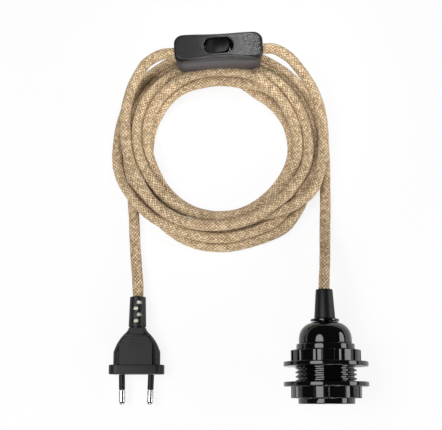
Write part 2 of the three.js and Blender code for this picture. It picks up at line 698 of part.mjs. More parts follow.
function switchBase() {
  const outer = prism(switchOutline(BASE_INSET), 0, BASE_HEIGHT);
  const cavity = prism(switchOutline(BASE_INSET + HOUSING_WALL), FLOOR, BASE_HEIGHT + 1);
  let base = outer.subtract(cavity);
  for (const side of [-1, 1]) {
    for (const y of [-CLAMP_POST, CLAMP_POST]) {
      const post = rod(CLAMP_POST_RADIUS, FLOOR - 0.5, CORD_LEVEL + 1.6).translate([side * CLAMP_AT, y, 0]);
      base = base.add(post.intersect(outer));
    }
    const [bx, by] = SWITCH_TERMINAL_AT;
    const stand = SWITCH_TERMINAL_TOP - SWITCH_TERMINAL[2] - SEAT - FLOOR / 2;
    base = base.add(block([5, 4, stand], [side * bx, by, (stand + FLOOR) / 2]));
    base = base.add(rod(HOUSING_BOSS, 0, BASE_HEIGHT, ROUND_BOSS)
      .translate([side * HOUSING_SCREW_AT[0], HOUSING_SCREW_AT[1], 0]).intersect(outer));
  }
  base = base.subtract(cordSlots().intersect(endZones()));
  for (const side of [-1, 1]) {
    for (const y of [-CLAMP_POST, CLAMP_POST]) {
      base = base.subtract(rod(CLAMP_SCREW_SHANK + SEAT, CORD_LEVEL - 4, CORD_LEVEL + 3)
        .translate([side * CLAMP_AT, y, 0]));
    }
    const at = [side * HOUSING_SCREW_AT[0], HOUSING_SCREW_AT[1], 0];
    base = base.subtract(rod(HOUSING_SCREW_SHANK + SEAT, -1, BASE_HEIGHT + 1).translate(at));
    base = base.subtract(rod(HOUSING_SCREW_HEAD + SEAT, -1, SCREW_HEAD + 0.5).translate(at));
  }
  return base;
}

// Only the housing's two ends, where the cord comes in
function endZones() {
  const size = [CORD_ENTRY, 2 * SWITCH_WIDTH, 4 * BASE_HEIGHT];
  const x = SWITCH_LENGTH / 2 - 1;
  return block(size, [x, 0, 0]).add(block(size, [-x, 0, 0]));
}

function stadium(length, width, steps = 10) {
  const outline = [];
  for (const side of [1, -1]) {
    for (let i = 0; i <= steps; i += 1) {
      const angle = side * (-Math.PI / 2 + (Math.PI * i) / steps) + (side < 0 ? Math.PI : 0);
      const x = side * (length / 2 - width / 2) + (width / 2) * Math.cos(angle);
      outline.push([x, (width / 2) * Math.sin(angle)]);
    }
  }
  return convexLoop(outline);
}

function switchCover() {
  const outer = prism(switchOutline(0), coverStart, coverTop + 1).intersect(slab(crownOutline(0), 3 * SWITCH_WIDTH));
  const cavity = prism(switchOutline(HOUSING_WALL), coverStart - 1, coverTop + 1)
    .intersect(slab(crownOutline(HOUSING_WALL), 3 * SWITCH_WIDTH));
  let cover = outer.subtract(cavity);
  const lugInner = ROCKER_WIDTH / 2 + SEAT * 1.5;
  for (const side of [-1, 1]) {
    const lug = block(LUG, [0, side * (lugInner + LUG[1] / 2), pivotHeight + LUG[2] / 4]);
    cover = cover.add(lug.intersect(outer));
    const column = rod(HOUSING_BOSS - 0.2, coverStart, coverTop, ROUND_BOSS)
      .translate([side * HOUSING_SCREW_AT[0], HOUSING_SCREW_AT[1], 0]);
    cover = cover.add(column.intersect(outer));
  }
  const opening = prism(stadium(...ROCKER_OPENING), pivotHeight, coverTop + 5);
  const trunnionHoles = rod(TRUNNION_RADIUS + SEAT, -halfTrunnions() - SEAT, halfTrunnions() + SEAT, 16)
    .rotate([90, 0, 0]).translate([0, 0, pivotHeight]);
  cover = cover.subtract(opening).subtract(trunnionHoles);
  for (const side of [-1, 1]) {
    cover = cover.subtract(rod(HOUSING_SCREW_SHANK + SEAT, 0, coverEdge - 1.2)
      .translate([side * HOUSING_SCREW_AT[0], HOUSING_SCREW_AT[1], 0]));
  }
  return cover.subtract(cordOpenings().intersect(endZones()));
}

function halfTrunnions() {
  return ROCKER_WIDTH / 2 + TRUNNION_LENGTH;
}

// Rocker about its pivot, level
function rocker() {
  const half = ROCKER_LENGTH / 2;
  const body = slab([
    [-half, 2.1], [-half + 0.5, 3.5], [0, 2.5], [half - 0.5, 3.5], [half, 2.1],
    [5.4, -ROCKER_DEPTH], [-5.4, -ROCKER_DEPTH],
  ], ROCKER_WIDTH);
  const wide = ROCKER_WIDTH / 2;
  const cut = ROCKER_CHAMFER;
  const plan = prism(convexLoop([
    [half, wide - cut], [half - cut, wide], [-half + cut, wide], [-half, wide - cut],
    [-half, -wide + cut], [-half + cut, -wide], [half - cut, -wide], [half, -wide + cut],
  ]), -10, 10);
  const trunnions = rod(TRUNNION_RADIUS, -halfTrunnions(), halfTrunnions(), 16).rotate([90, 0, 0]);
  return body.intersect(plan).add(trunnions);
}

// Contact strip under the rocker, about the same pivot
function contactBridge() {
  const top = -bridgeDrop;
  const flat = top - BRIDGE_THICKNESS;
  const low = flat - BRIDGE_DIMPLE;
  return slab([
    [-BRIDGE_HALF, low], [-BRIDGE_HALF + 1, low], [-BRIDGE_HALF + 1.6, flat],
    [BRIDGE_HALF - 1.6, flat], [BRIDGE_HALF - 1, low], [BRIDGE_HALF, low],
    [BRIDGE_HALF, top], [-BRIDGE_HALF, top],
  ], 3);
}

// Brass terminal with a tongue: the left one reaches under the rocker's middle,
// the right one under the end of its contact strip
function switchTerminal(side) {
  const [tx, ty, tz] = SWITCH_TERMINAL;
  const [x, y] = SWITCH_TERMINAL_AT;
  const top = SWITCH_TERMINAL_TOP;
  const body = block([tx, ty, tz], [side * x, y, top - tz / 2]);
  const inner = x - tx / 2 + 1;
  const middle = pivotHeight - bridgeDrop - BRIDGE_THICKNESS - 1.5 * SEAT;
  const sunk = bridgeDrop + BRIDGE_THICKNESS + BRIDGE_DIMPLE;
  const end = pivotHeight - sunk * Math.cos(ROCKER_TILT) - BRIDGE_HALF * Math.sin(ROCKER_TILT) - SEAT;
  const reach = side < 0
    ? [[-inner, top - TONGUE], [-3.6, top - TONGUE], [-1, middle - TONGUE], [0.9, middle - TONGUE],
      [0.9, middle], [-1.4, middle], [-4, top], [-inner, top]]
    : [[4, end - TONGUE], [6.8, end - TONGUE], [8.4, top - TONGUE], [inner, top - TONGUE],
      [inner, top], [8.6, top], [7, end], [4, end]];
  const tongue = slab(reach, 3, y + 0.4);
  const coreHole = rod(CORE_RADIUS + SEAT, -1.6, 1.6).rotate([0, 90, 0])
    .translate([side * (x + tx / 2), y, coreLevel]);
  const screwHole = rod(SCREW_SHANK + SEAT, -3.6, 3).translate([side * x, y, top]);
  return body.add(tongue).subtract(coreHole).subtract(screwHole);
}

function switchTerminalScrew(side) {
  const [x, y] = SWITCH_TERMINAL_AT;
  return screw(3.2).translate([side * x, y, SWITCH_TERMINAL_TOP + SEAT]);
}

function switchCore(side) {
  const [x, y] = SWITCH_TERMINAL_AT;
  const face = x + SWITCH_TERMINAL[0] / 2;
  const start = cordEntryX - 2 * SEAT;
  return cordSolid([
    [side * start, -CORE_SPREAD, CORD_LEVEL], [side * (start - 1), -CORE_SPREAD - 0.2, CORD_LEVEL],
    [side * (face + 0.8), y, coreLevel], [side * (face - 1.3), y, coreLevel],
  ], CORE_RADIUS, 6, 8);
}

function neutralCore() {
  const start = cordEntryX - 2 * SEAT;
  const points = [[start, CORE_SPREAD, CORD_LEVEL], [start - 1.4, CORE_SPREAD + 0.5, CORD_LEVEL - 0.4],
    [start - 5, 3.9, 6.6], [start - 12, 4.1, 5.6]];
  const back = points.map(([x, y, z]) => [-x, y, z]).reverse();
  return cordSolid([...points, ...back], CORE_RADIUS, 24, 8);
}

function clampBar(side) {
  const bottom = CORD_LEVEL + CORD_RADIUS + SEAT;
  let bar = block(CLAMP_BAR, [side * CLAMP_AT, 0, bottom + CLAMP_BAR[2] / 2]);
  for (const y of [-CLAMP_POST, CLAMP_POST]) {
    bar = bar.subtract(rod(CLAMP_SCREW_SHANK + SEAT, 0, BASE_HEIGHT + 10).translate([side * CLAMP_AT, y, 0]));
  }
  return bar;
}

function clampScrew(side, y) {
  const bottom = CORD_LEVEL + CORD_RADIUS + 2 * SEAT + CLAMP_BAR[2];
  return screw(CLAMP_SCREW_LENGTH, CLAMP_SCREW_SHANK, CLAMP_SCREW_HEAD)
    .translate([side * CLAMP_AT, y, bottom]);
}

function housingScrew(side) {
  return screw(HOUSING_SCREW_LENGTH, HOUSING_SCREW_SHANK, HOUSING_SCREW_HEAD).rotate([180, 0, 0])
    .translate([side * HOUSING_SCREW_AT[0], HOUSING_SCREW_AT[1], SCREW_HEAD + 0.5 - SEAT / 2]);
}

const switchLevel = COIL_HIGH + SEAT;

function inlineSwitch() {
  const group = new THREE.Group();
  group.add(
    piece('switch_base', 'housingBlack', switchBase()),
    piece('switch_cover', 'housingBlack', switchCover()),
    piece('switch_terminal_left', 'brass', switchTerminal(-1)),
    piece('switch_terminal_right', 'brass', switchTerminal(1)),
    piece('switch_core_neutral', 'blueCore', neutralCore()),
  );
  for (const [name, side] of [['left', -1], ['right', 1]]) {
    group.add(
      piece(`switch_terminal_screw_${name}`, 'steel', switchTerminalScrew(side)),
      piece(`switch_core_live_${name}`, 'brownCore', switchCore(side)),
      piece(`switch_clamp_${name}`, 'steel', clampBar(side)),
      piece(`switch_clamp_screw_${name}_front`, 'steel', clampScrew(side, -CLAMP_POST)),
      piece(`switch_clamp_screw_${name}_back`, 'steel', clampScrew(side, CLAMP_POST)),
      piece(`switch_housing_screw_${name}`, 'steel', housingScrew(side)),
    );
  }
  const rocking = new THREE.Group();
  rocking.add(
    piece('switch_rocker', 'glossBlack', rocker()),
    piece('switch_contact_bridge', 'brass', contactBridge()),
  );
  rocking.position.z = pivotHeight;
  rocking.rotation.y = -ROCKER_TILT;
  group.add(rocking);
  group.position.set(...SWITCH_CENTRE, switchLevel);
  group.rotation.z = SWITCH_TURN;
  return group;
}

// Coil: an oval ring that is higher under the switch
function coilSolid() {
  const soft = COIL_SOFT;
  const inner = COIL_INNER;
  const outer = COIL_OUTER;
  const profile = [
    [inner + soft / 2, 0], [outer - soft / 2, 0], [outer, soft], [outer, COIL_LOW - soft],
    [outer - soft, COIL_LOW], [inner + soft, COIL_LOW], [inner, COIL_LOW - soft], [inner, soft],
    [inner + soft / 2, 0],
  ];
  const points = profile.map(([r, z]) => new THREE.Vector2(r, z));
  const ring = new THREE.LatheGeometry(points, ROUND_COIL).rotateX(Math.PI / 2);
  const corners = ring.attributes.position;
  for (let i = 0; i < corners.count; i += 1) {
    const towardsSwitch = corners.getY(i) / COIL_OUTER;
    const rise = (COIL_HIGH - COIL_LOW) * THREE.MathUtils.smoothstep(towardsSwitch, -0.6, 0.75);
    const z = corners.getZ(i);
    corners.setZ(i, z > soft ? z + rise : z);
    corners.setY(i, corners.getY(i) * COIL_SQUASH);
  }
  return solid(ring).translate([...COIL_CENTRE, 0]);
}

// Points in the switch's own frame, turned and placed on the table
function fromSwitch([x, y, z]) {
  const point = new THREE.Vector3(x, y, z).applyAxisAngle(new THREE.Vector3(0, 0, 1), SWITCH_TURN);
  return [point.x + SWITCH_CENTRE[0], point.y + SWITCH_CENTRE[1], point.z + switchLevel];
}

const holderY = -holderLength / 2;

// Routes of the cord where it isn't coiled
const holderTailRoute = [
  [0, holderY + cordEndInCap + SEAT + 0.9, FLANGE_RADIUS], [0, 24, FLANGE_RADIUS],
  [0, 35.6, FLANGE_RADIUS], [0.2, 41, 25.8], [0.9, 48, 24], [1.8, 57, 19.4], [2.8, 67, 12.7], [3.7, 77, 7],
  [4.4, 87, 4.1], [4.8, 96, 3.5], [4.9, 104, 3.5],
];
const plugTailRoute = [
  [PLUG_X, PLUG_FACE_Y + PLUG_LENGTH + SEAT, PLUG_THICKNESS / 2],
  [PLUG_X, PLUG_FACE_Y + PLUG_LENGTH + 3, PLUG_THICKNESS / 2], [-118.8, 43, 6.3],
  [-119.8, 52, 4.9], [-120.8, 62, 3.8], [-121.6, 73, 3.5], [-122, 83.4, 3.5],
];
const leadLeftRoute = [
  fromSwitch([-cordEntryX, 0, CORD_LEVEL]), fromSwitch([-25, 0, CORD_LEVEL]),
  fromSwitch([-31, 0, CORD_LEVEL]),
  [-103, 190.2, 30.1], [-109.5, 188, 28.2], [-115.5, 184, 26], [-120.5, 178.4, 24.8],
];
const leadRightRoute = [
  fromSwitch([cordEntryX, 0, CORD_LEVEL]), fromSwitch([25, 0, CORD_LEVEL]),
  fromSwitch([31, 0, CORD_LEVEL]),
  [-30, 194, 30.2], [-23.5, 191.6, 28.4], [-17, 187.2, 26.2], [-11.6, 181.4, 24.9],
];

function cords() {
  return [
    piece('cord_coil', 'jute', coilSolid()),
    piece('cord_holder_tail', 'jute', cordSolid(holderTailRoute, CORD_RADIUS, 14)),
    piece('cord_plug_tail', 'jute', cordSolid(plugTailRoute, CORD_RADIUS, 8)),
    piece('cord_switch_lead_left', 'jute', cordSolid(leadLeftRoute, CORD_RADIUS, 8)),
    piece('cord_switch_lead_right', 'jute', cordSolid(leadRightRoute, CORD_RADIUS, 8)),
  ];
}

const cordSet = new THREE.Group();
cordSet.add(lampholder(), plug(), inlineSwitch(), ...cords());

export default cordSet;
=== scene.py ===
"""Pendant cord set: lampholder with shade rings, coiled textile cord, inline switch and plug.

Metres, +Z up. The set lies on a table at z = 0 and is seen from above, as in the photo.
"""

import json
import math

import bmesh
import bpy
import numpy as np
from bpy.props import FloatProperty, FloatVectorProperty, IntProperty, PointerProperty
from mathutils import Matrix, Vector

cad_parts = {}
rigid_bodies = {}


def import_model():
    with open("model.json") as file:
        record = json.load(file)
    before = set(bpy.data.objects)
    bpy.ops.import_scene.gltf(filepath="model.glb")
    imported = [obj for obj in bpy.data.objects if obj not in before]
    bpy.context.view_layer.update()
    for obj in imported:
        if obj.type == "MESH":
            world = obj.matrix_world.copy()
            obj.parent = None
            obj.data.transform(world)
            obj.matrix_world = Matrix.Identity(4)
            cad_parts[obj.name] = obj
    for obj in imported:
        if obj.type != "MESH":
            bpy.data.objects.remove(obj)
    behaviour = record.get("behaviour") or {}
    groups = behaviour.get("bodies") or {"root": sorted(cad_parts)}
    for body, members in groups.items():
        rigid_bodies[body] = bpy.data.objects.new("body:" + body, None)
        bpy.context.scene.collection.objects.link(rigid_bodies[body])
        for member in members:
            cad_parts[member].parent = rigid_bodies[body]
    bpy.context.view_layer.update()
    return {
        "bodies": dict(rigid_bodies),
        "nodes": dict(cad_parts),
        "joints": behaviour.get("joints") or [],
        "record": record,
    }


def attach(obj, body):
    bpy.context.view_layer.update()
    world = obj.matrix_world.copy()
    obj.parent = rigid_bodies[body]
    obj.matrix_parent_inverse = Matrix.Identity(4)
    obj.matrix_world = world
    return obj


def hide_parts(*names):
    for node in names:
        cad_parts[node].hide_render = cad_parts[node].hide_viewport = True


bl_info = {
    "name": "Pendant cord set",
    "version": (1, 0, 0),
    "blender": (4, 5, 0),
    "location": "View3D > Sidebar > Cord set",
    "description": "Builds a lampholder, its coiled cord, switch and plug on a table",
    "category": "Add Mesh",
}

# The frame, the materials by name and the cords, for the operators
MADE = {}

MM = 0.001
FULL_TURN = 2 * math.pi
WELD = 1e-7
EDGE, FINE_EDGE, KEEN_EDGE = 0.0003, 0.0002, 0.0001
NEARLY_STRAIGHT = math.radians(88)
QUARTERS = ((1, 1, 0), (-1, 1, 1), (-1, -1, 2), (1, -1, 3))

# Camera, as found from the photo
CAMERA_PLACE = (-0.06465, -0.03576, 0.590)
CAMERA_TILT = math.radians(11.882)
CAMERA_LENS = 73.55
CAMERA_SENSOR = 36.0
TABLE_HALF = 6
LIGHTS = {
    "key": {"place": (-0.62, 0.02, 1.03), "aim": (-0.02, 0.02, 0), "size": (0.70, 0.95)},
    "side": {"place": (1.03, 0.05, 0.40), "aim": (0, 0.05, 0.02), "size": (0.46, 1.2)},
    "patch": {
        "place": (0.052, 0.392, 0.49), "aim": (-0.052, 0.194, 0.04), "size": (0.09, 0.09),
        "spread": 24,
    },
    "front": {
        "place": (0.2, -1.3, 0.5), "aim": (-0.06, 0.15, 0), "size": (1.0, 0.13),
        "spread": 120, "shape": "RECTANGLE",
    },
}

# Slots and materials
GLOSS = "glossy_black_thermoplastic"
SATIN = "satin_black_plastic"
PLUG = "plug_black_plastic"
HOUSING = "switch_housing_plastic"
JUTE = "jute_textile"
BRAID_DRIFT = (0.0006, 0.03, 0)
BRAID_RELIEF, GRAIN_RELIEF = 0.0006, 0.0002
DRIFT_SCALE, FIBRE_SCALE, PATCH_SCALE = 420, 1050, 90
MOTTLE_SCALE, POLISH_SCALE = 1200, 900
# Weights in the jute's tone: the braid's height paints shade into the gaps and highlight onto the
# yarn tops; fibres, yarns and patches vary the tone at random
BRAID_PAINTED_SHADE, FIBRE_SHADE, YARN_SHADE, PATCH_SHADE = 0.36, 0.86, 0.2, 0.06
JUTE_STOPS = (0.46, 0.65, 0.80, 0.96)

# Cord, in millimetres
CORD = 7.0
COIL_CENTRE = np.array([-65.3, 133.6])
LANE_FIRST = np.array([48.5, 47.0])
LANE_STEP = np.array([6.87, 6.6])
CORD_SPACING = 5.0
SWITCH_TURN = math.radians(3)
SWITCH_PLACE = (-66.3, 192.3, 17.1)
CORD_LEVEL = 13.6
CORD_RING = 1.0
CORD_SIDES = 20
SLUB_SPACING = 9.0
SLUB = 0.022
UNEVEN = 0.008
FIBRE_REACH = (0.35, 1.25)
FIBRE_WIDTH = (0.018, 0.034)
FIBRE_LOWEST = 0.1

# How the cords settle, in millimetres, steps and shares of a step
SMOOTHINGS = 8
SETTLE_STEPS = 260
LATE = 0.75
PULL, LATE_PULL = 0.08, 0.03
FALL = 0.03
LIFT = 0.04
EASE = 0.22
PUSH, PUSH_GAIN = 0.35, 1.6
STRETCH = 0.25
PAIR_STEPS = 8
PAIR_REACH = 11.5
OWN_LINKS = 4.6
HELD_BACK = 4
ROOF_GAP = 0.05
ROOF_REACH = (30, 11)

# Lampholder, in metres: places along its axis from the mouth, then radii
HOLDER_LENGTH = 0.07035
RIM = 0.00345
LOWER_RING = 0.01335
UPPER_RING = 0.02265
COLLAR = 0.03285
COLLAR_END = 0.03635
NECK_END = 0.03955
CAP_START = 0.03665
CAP_END = 0.05005
CAP_WALL = 0.002
CAP_SKIRT = 0.0035
DISC_START = 0.05035
DISC_END = 0.05175
CONE_START = 0.05205
SHOULDER = 0.03515
THREAD_ROOT = 0.01735
SLEEVE_BORE = 0.01435
NECK_RADIUS = 0.0141
NECK_BORE = 0.0127
COLLAR_RADIUS = 0.018
FLANGE_RADIUS = 0.0261
FLANGE_THICKNESS = 0.0029
FLANGE_EDGE = 0.0007
RING_WALL = 0.0216
RING_WALL_END = 0.0099
RING_BORE = 0.01915
CAP_RADIUS = 0.0164
CAP_BORE = 0.0144
CAP_SQUARENESS = 2.8
STEM_RADIUS = 0.0049
DISC_RADIUS = 0.00885
COLLET_RADIUS = 0.0046
CONE_BOTTOM = 0.00655
CONE_TOP = 0.00525
CORD_BORE = 0.0038

# Plug, in metres from the middle of its face
PLUG_PLACE = (-0.1184, -0.01665, 0.00685)
PLUG_HALF = 0.01765
PLUG_DEEP = 0.00685
PLUG_CORNER = 0.0058
PLUG_EDGE = 0.0006
FLANGE_END = 0.0059
BODY_HALF = 0.01495
BODY_DEEP = 0.0053
BODY_FILLET = 0.0004
NECK_START = 0.0303
NECK_STOP = 0.0488
NECK_THICK = 0.00565
NECK_THIN = 0.0051
PANEL_HALF = 0.0102
PANEL_END = 0.0243
PANEL_TOP = 0.00655
RIB_TOP = 0.0061
RIDGE = (0.0150, 0.0012, 0.0134)
PLUG_BORE = 0.0039
# Distance from the face, half width, half depth and corner
PLUG_BODY = (
    (0.0064, 0.01495, 0.00530, 0.0047), (0.0095, 0.01495, 0.00530, 0.0048),
    (0.0125, 0.01495, 0.00530, 0.0048), (0.0140, 0.01490, 0.00530, 0.0048),
    (0.0155, 0.01435, 0.00530, 0.0048), (0.0181, 0.01335, 0.00535, 0.0048),
    (0.0219, 0.01114, 0.00545, 0.0050), (0.0251, 0.00860, 0.00550, 0.0052),
    (0.0267, 0.00700, 0.00570, 0.0056), (0.0281, 0.00600, 0.00555, 0.0055),
    (0.0291, 0.00560, 0.00550, 0.0055), (0.0294, 0.00550, 0.00550, 0.0055),
)
# Distance from the face, and radius
NECK_GROOVE = (
    (0.0294, 0.0054), (0.02945, 0.0050), (0.0299, 0.0050), (0.02995, 0.0054), (0.0301, 0.0056),
)
# Distance from the face, and length
GRIP_GROOVES = ((0.0232, 0.0150), (0.0214, 0.0080), (0.0196, 0.0080), (0.0178, 0.0080))
# Size of a groove beside a panel, and its middle
SIDE_GROOVE = (0.0013, 0.0133, 0.0036)
SIDE_GROOVE_AT = (0.0108, 0.01285, 0.0060)
# Length, and distance from the middle
NECK_SLOTS = ((0.0046, 0.0013), (0.0040, -0.0013), (0.0046, 0.0014), (0.0040, -0.0011))
SLOT_FIRST = 0.0455
SLOT_STEP = 0.00395
PIN_LENGTH = 0.019
PIN_RADIUS = 0.002
PIN_OFFSET = 0.0093
PIN_SLEEVE = 0.010
PIN_LEAN = math.atan((0.0186 - 0.0175) / 2 / PIN_LENGTH)
# Radius, and distance in front of the face
PIN_HOLE = (
    (0, -0.0083), (0.0015, -0.0083), (0.0015, -0.0008), (0.00225, -0.0008), (0.00225, 0.001),
    (0, 0.001),
)

# Switch, in metres from the middle of its underside
SWITCH_HALF = (0.029, 0.0092)
SWITCH_CORNER = 0.0056
SWITCH_WAIST = 0.001
SWITCH_WALL = 0.0016
BASE_INSET = 0.0007
BASE_EDGE = 0.0009
BASE_FLOOR = 0.0018
BASE_HEIGHT = 0.0166
CLAMP_POST = (0.0234, 0.0053)
HOUSING_SCREW = (0.0194, -0.0055)
# Size and middle, at the right end
TERMINAL_SEAT = ((0.005, 0.004, 0.0086), (0.014, -0.0026, 0.0052))
END_SLIT = ((0.008, 0.0076, 0.005), (0.028, 0, CORD_LEVEL * MM + 0.0025))
COVER_START = 0.0169
COVER_EDGE = 0.0215
COVER_TOP = 0.0239
COVER_BEVEL = 0.0015
# Shares of the bevel: inwards and down
COVER_BEVEL_ROWS = ((0.93, 0.02), (0.82, 0.12), (0.2, 0.74), (0.08, 0.9), (0.02, 1.05), (0, 1.25))
# Size and middle of the shelf and walls that close the opening's right end
COVER_SHELVES = (
    ((0.0042, 0.0118, 0.0006), (0.0088, 0, 0.0176)),
    ((0.0006, 0.0118, 0.0052), (0.0106, 0, 0.0199)),
    ((0.0042, 0.0006, 0.0052), (0.0088, 0.0056, 0.0199)),
    ((0.0042, 0.0006, 0.0052), (0.0088, -0.0056, 0.0199)),
)
PIVOT = 0.0207
OPENING = (0.0192, 0.0104)
OPENING_EDGE = 0.0004
ROCKER = (0.0158, 0.0094)
ROCKER_TILT = math.radians(11)

# How the cord lies: angle from the coil's left side, clockwise seen from above, lane and height
PLUG_LAY = [
    (-27, 2.35, 3.5), (-20, 1.72, 3.5), (-10, 1.32, 3.5), (0, 1.15, 3.5), (20, 0.95, 3.5),
    (40, 0.55, 3.5), (60, 0.42, 3.5), (90, 0.3, 3.5), (118, 0.25, 3.5), (138, 0.25, 3.5),
    (152, 0.27, 3.5), (168, 0.27, 3.5), (183, 0.25, 3.5), (199, 0.2, 3.5), (216, 0.1, 3.5),
    (239, 0.1, 3.5), (270, 0.15, 3.5), (295, 0.12, 4.5), (308, 0.08, 6.5), (324, 0.05, 8.5),
    (338, 0.12, 9.5), (354, 0.28, 10.0), (363, 0.35, 10.5), (375, 0.42, 11.5), (384, 0.5, 12.5),
    (397, 0.57, 14.5), (409, 0.55, 15.3), (421, 0.5, 16.0), (450, 0.4, 16.5), (467, 0.45, 16.4),
    (479, 0.48, 15.6), (492, 0.62, 14.8), (506, 0.7, 13.4), (519, 0.65, 12.0), (533, 0.75, 11.0),
    (541, 0.78, 10.5), (554, 0.8, 10.5), (572, 0.65, 10.5), (586, 0.5, 10.5), (601, 0.32, 10.5),
    (623, 0.3, 10.5), (640, 0.38, 10.5), (655, 0.48, 11), (670, 0.48, 12), (680, 0.45, 13),
    (695, 0.35, 13.5), (707, 0.6, 13.5), (718, 0.88, 13.0), (729, 1.12, 13.0), (741, 1.42, 13.0),
    (752, 1.65, 13.0), (762, 1.7, 13.2), (780, 1.65, 13.3), (810, 1.65, 13.3), (841, 1.72, 13.3),
    (851, 1.72, 13.3), (860, 1.72, 13.0), (870, 1.72, 12.0), (880, 1.65, 11.0), (891, 1.62, 10.5),
    (910, 1.6, 10.5), (924, 1.42, 11.5), (938, 1.22, 12.5), (954, 1.15, 13.5), (970, 1.17, 14.0),
    (988, 1.3, 14.5), (1005, 1.55, 14.5), (1021, 1.75, 14.5), (1035, 1.84, 14.5),
    (1050, 1.82, 14.5), (1063, 1.81, 14.5), (1076, 1.92, 15.0), (1087, 2.2, 16.0),
    (1102, 2.85, 17.5), (1111, 3.2, 19.5),
]
HOLDER_LAY = [
    (149.5, 3.62, 19.5), (158, 3.45, 15.5), (169, 3.22, 12.5), (180, 3.04, 10.8),
    (188.5, 3.0, 10.8), (199, 2.85, 11.5), (210, 2.6, 11.5), (223.6, 2.2, 10), (238, 1.95, 6.5),
    (252, 1.85, 4.0), (270, 1.75, 3.5), (300, 1.22, 3.5), (330, 0.7, 3.5), (360, 0.15, 3.5),
    (378, 0.15, 5.5), (396, 0.2, 8.5), (415, 0.25, 10.5), (450, 0.3, 10.5), (470, 0.4, 9.5),
    (490, 0.75, 7.5), (510, 1.1, 4.5), (530, 1.27, 3.5), (545, 1.5, 3.5), (558, 1.85, 3.5),
    (570, 2.25, 3.5), (582, 2.5, 3.5), (596, 2.65, 3.5), (606, 2.75, 3.5), (618, 2.95, 3.5),
    (630, 3.15, 3.5), (645, 3.0, 3.5), (660, 2.7, 3.5), (675, 2.5, 3.5), (692, 2.25, 6.5),
    (706, 2.1, 5.5), (720, 2.05, 3.5), (745, 2.4, 3.5), (762, 2.75, 4.0), (780, 2.75, 5.0),
    (810, 2.65, 5.0), (845, 2.65, 6.0), (866, 2.6, 6.5), (876, 2.4, 6.0), (900, 2.15, 3.5),
    (925, 2.1, 5.0), (945, 2.15, 7.0), (962, 2.3, 8.0), (971, 2.4, 8.0), (981, 2.5, 8.0),
    (991, 2.6, 8.0), (1013, 2.6, 8.0), (1027, 2.7, 8.0), (1040, 2.8, 8.5), (1052, 2.82, 9.0),
    (1064, 2.82, 8.5), (1078, 2.75, 7.0), (1086, 2.7, 6.0), (1094, 2.75, 5.0), (1110, 3.0, 3.5),
    (1130, 3.25, 3.5), (1170, 3.35, 3.5), (1198, 3.3, 3.5), (1206, 3.25, 3.5), (1214, 3.15, 3.5),
    (1224, 3.1, 3.5), (1240, 3.05, 3.5), (1258, 3.12, 3.5),
]

PLUG_TAIL = [
    (-118.4, 32.95, 6.85), (-118.4, 35.65, 6.85), (-118.8, 43, 6.3), (-119.8, 52, 4.9),
    (-120.8, 62, 3.8), (-121.6, 73, 3.5), (-122, 83.4, 3.5),
]
HOLDER_TAIL = [
    (0, 11.475, 26.1), (0, 24, 26.1), (0, 35.6, 26.1), (0.2, 41, 25.8), (0.9, 48, 24),
    (1.8, 57, 19.4), (2.8, 67, 12.7), (3.7, 77, 7), (4.4, 87, 4.1), (4.8, 96, 3.5),
    (4.9, 104, 3.5),
]


def switch_point(x, y, z):
    """A point of the switch's own frame, turned and placed on the table, in millimetres."""
    c, s = math.cos(SWITCH_TURN), math.sin(SWITCH_TURN)
    return (
        x * c - y * s + SWITCH_PLACE[0],
        x * s + y * c + SWITCH_PLACE[1],
        z + SWITCH_PLACE[2],
    )


LEAD_LEFT = [
    switch_point(-21, 0, CORD_LEVEL), switch_point(-25, 0, CORD_LEVEL),
    switch_point(-31, 0, CORD_LEVEL), (-103, 190.2, 30.1), (-109.5, 188, 28.2),
    (-115.5, 184, 26), (-120.5, 178.4, 24.8),
]
LEAD_RIGHT = [
    switch_point(21, 0, CORD_LEVEL), switch_point(25, 0, CORD_LEVEL),
    switch_point(31, 0, CORD_LEVEL), (-30, 194, 30.2), (-23.5, 191.6, 28.4),
    (-17, 187.2, 26.2), (-11.6, 181.4, 24.9),
]


def smooth(points, count):
    """Centripetal Catmull-Rom curve through points, with count samples per stretch."""
    p = np.asarray(points, float)
    ends = np.vstack([2 * p[0] - p[1], p, 2 * p[-1] - p[-2]])
    out = []
    for i in range(1, len(ends) - 2):
        a, b, c, d = ends[i - 1 : i + 3]
        t1 = np.linalg.norm(b - a) ** 0.5
        t2 = t1 + np.linalg.norm(c - b) ** 0.5
        t3 = t2 + np.linalg.norm(d - c) ** 0.5
        for t in np.linspace(t1, t2, count, endpoint=False):
            a1 = (t1 - t) / t1 * a + t / t1 * b
            a2 = (t2 - t) / (t2 - t1) * b + (t - t1) / (t2 - t1) * c
            a3 = (t3 - t) / (t3 - t2) * c + (t - t2) / (t3 - t2) * d
            b1 = (t2 - t) / t2 * a1 + t / t2 * a2
            b2 = (t3 - t) / (t3 - t1) * a2 + (t - t1) / (t3 - t1) * a3
            out.append((t2 - t) / (t2 - t1) * b1 + (t - t1) / (t2 - t1) * b2)
    out.append(ends[-2])
    return np.array(out)


def along(path):
    """Distance from the start to each point of a path."""
    return np.concatenate([[0], np.cumsum(np.linalg.norm(np.diff(path, axis=0), axis=1))])


def even(path, spacing):
    """The same path with points at even spacing."""
    s = along(path)
    q = np.linspace(0, s[-1], int(round(s[-1] / spacing)) + 1)
    return np.column_stack([np.interp(q, s, path[:, k]) for k in range(3)])


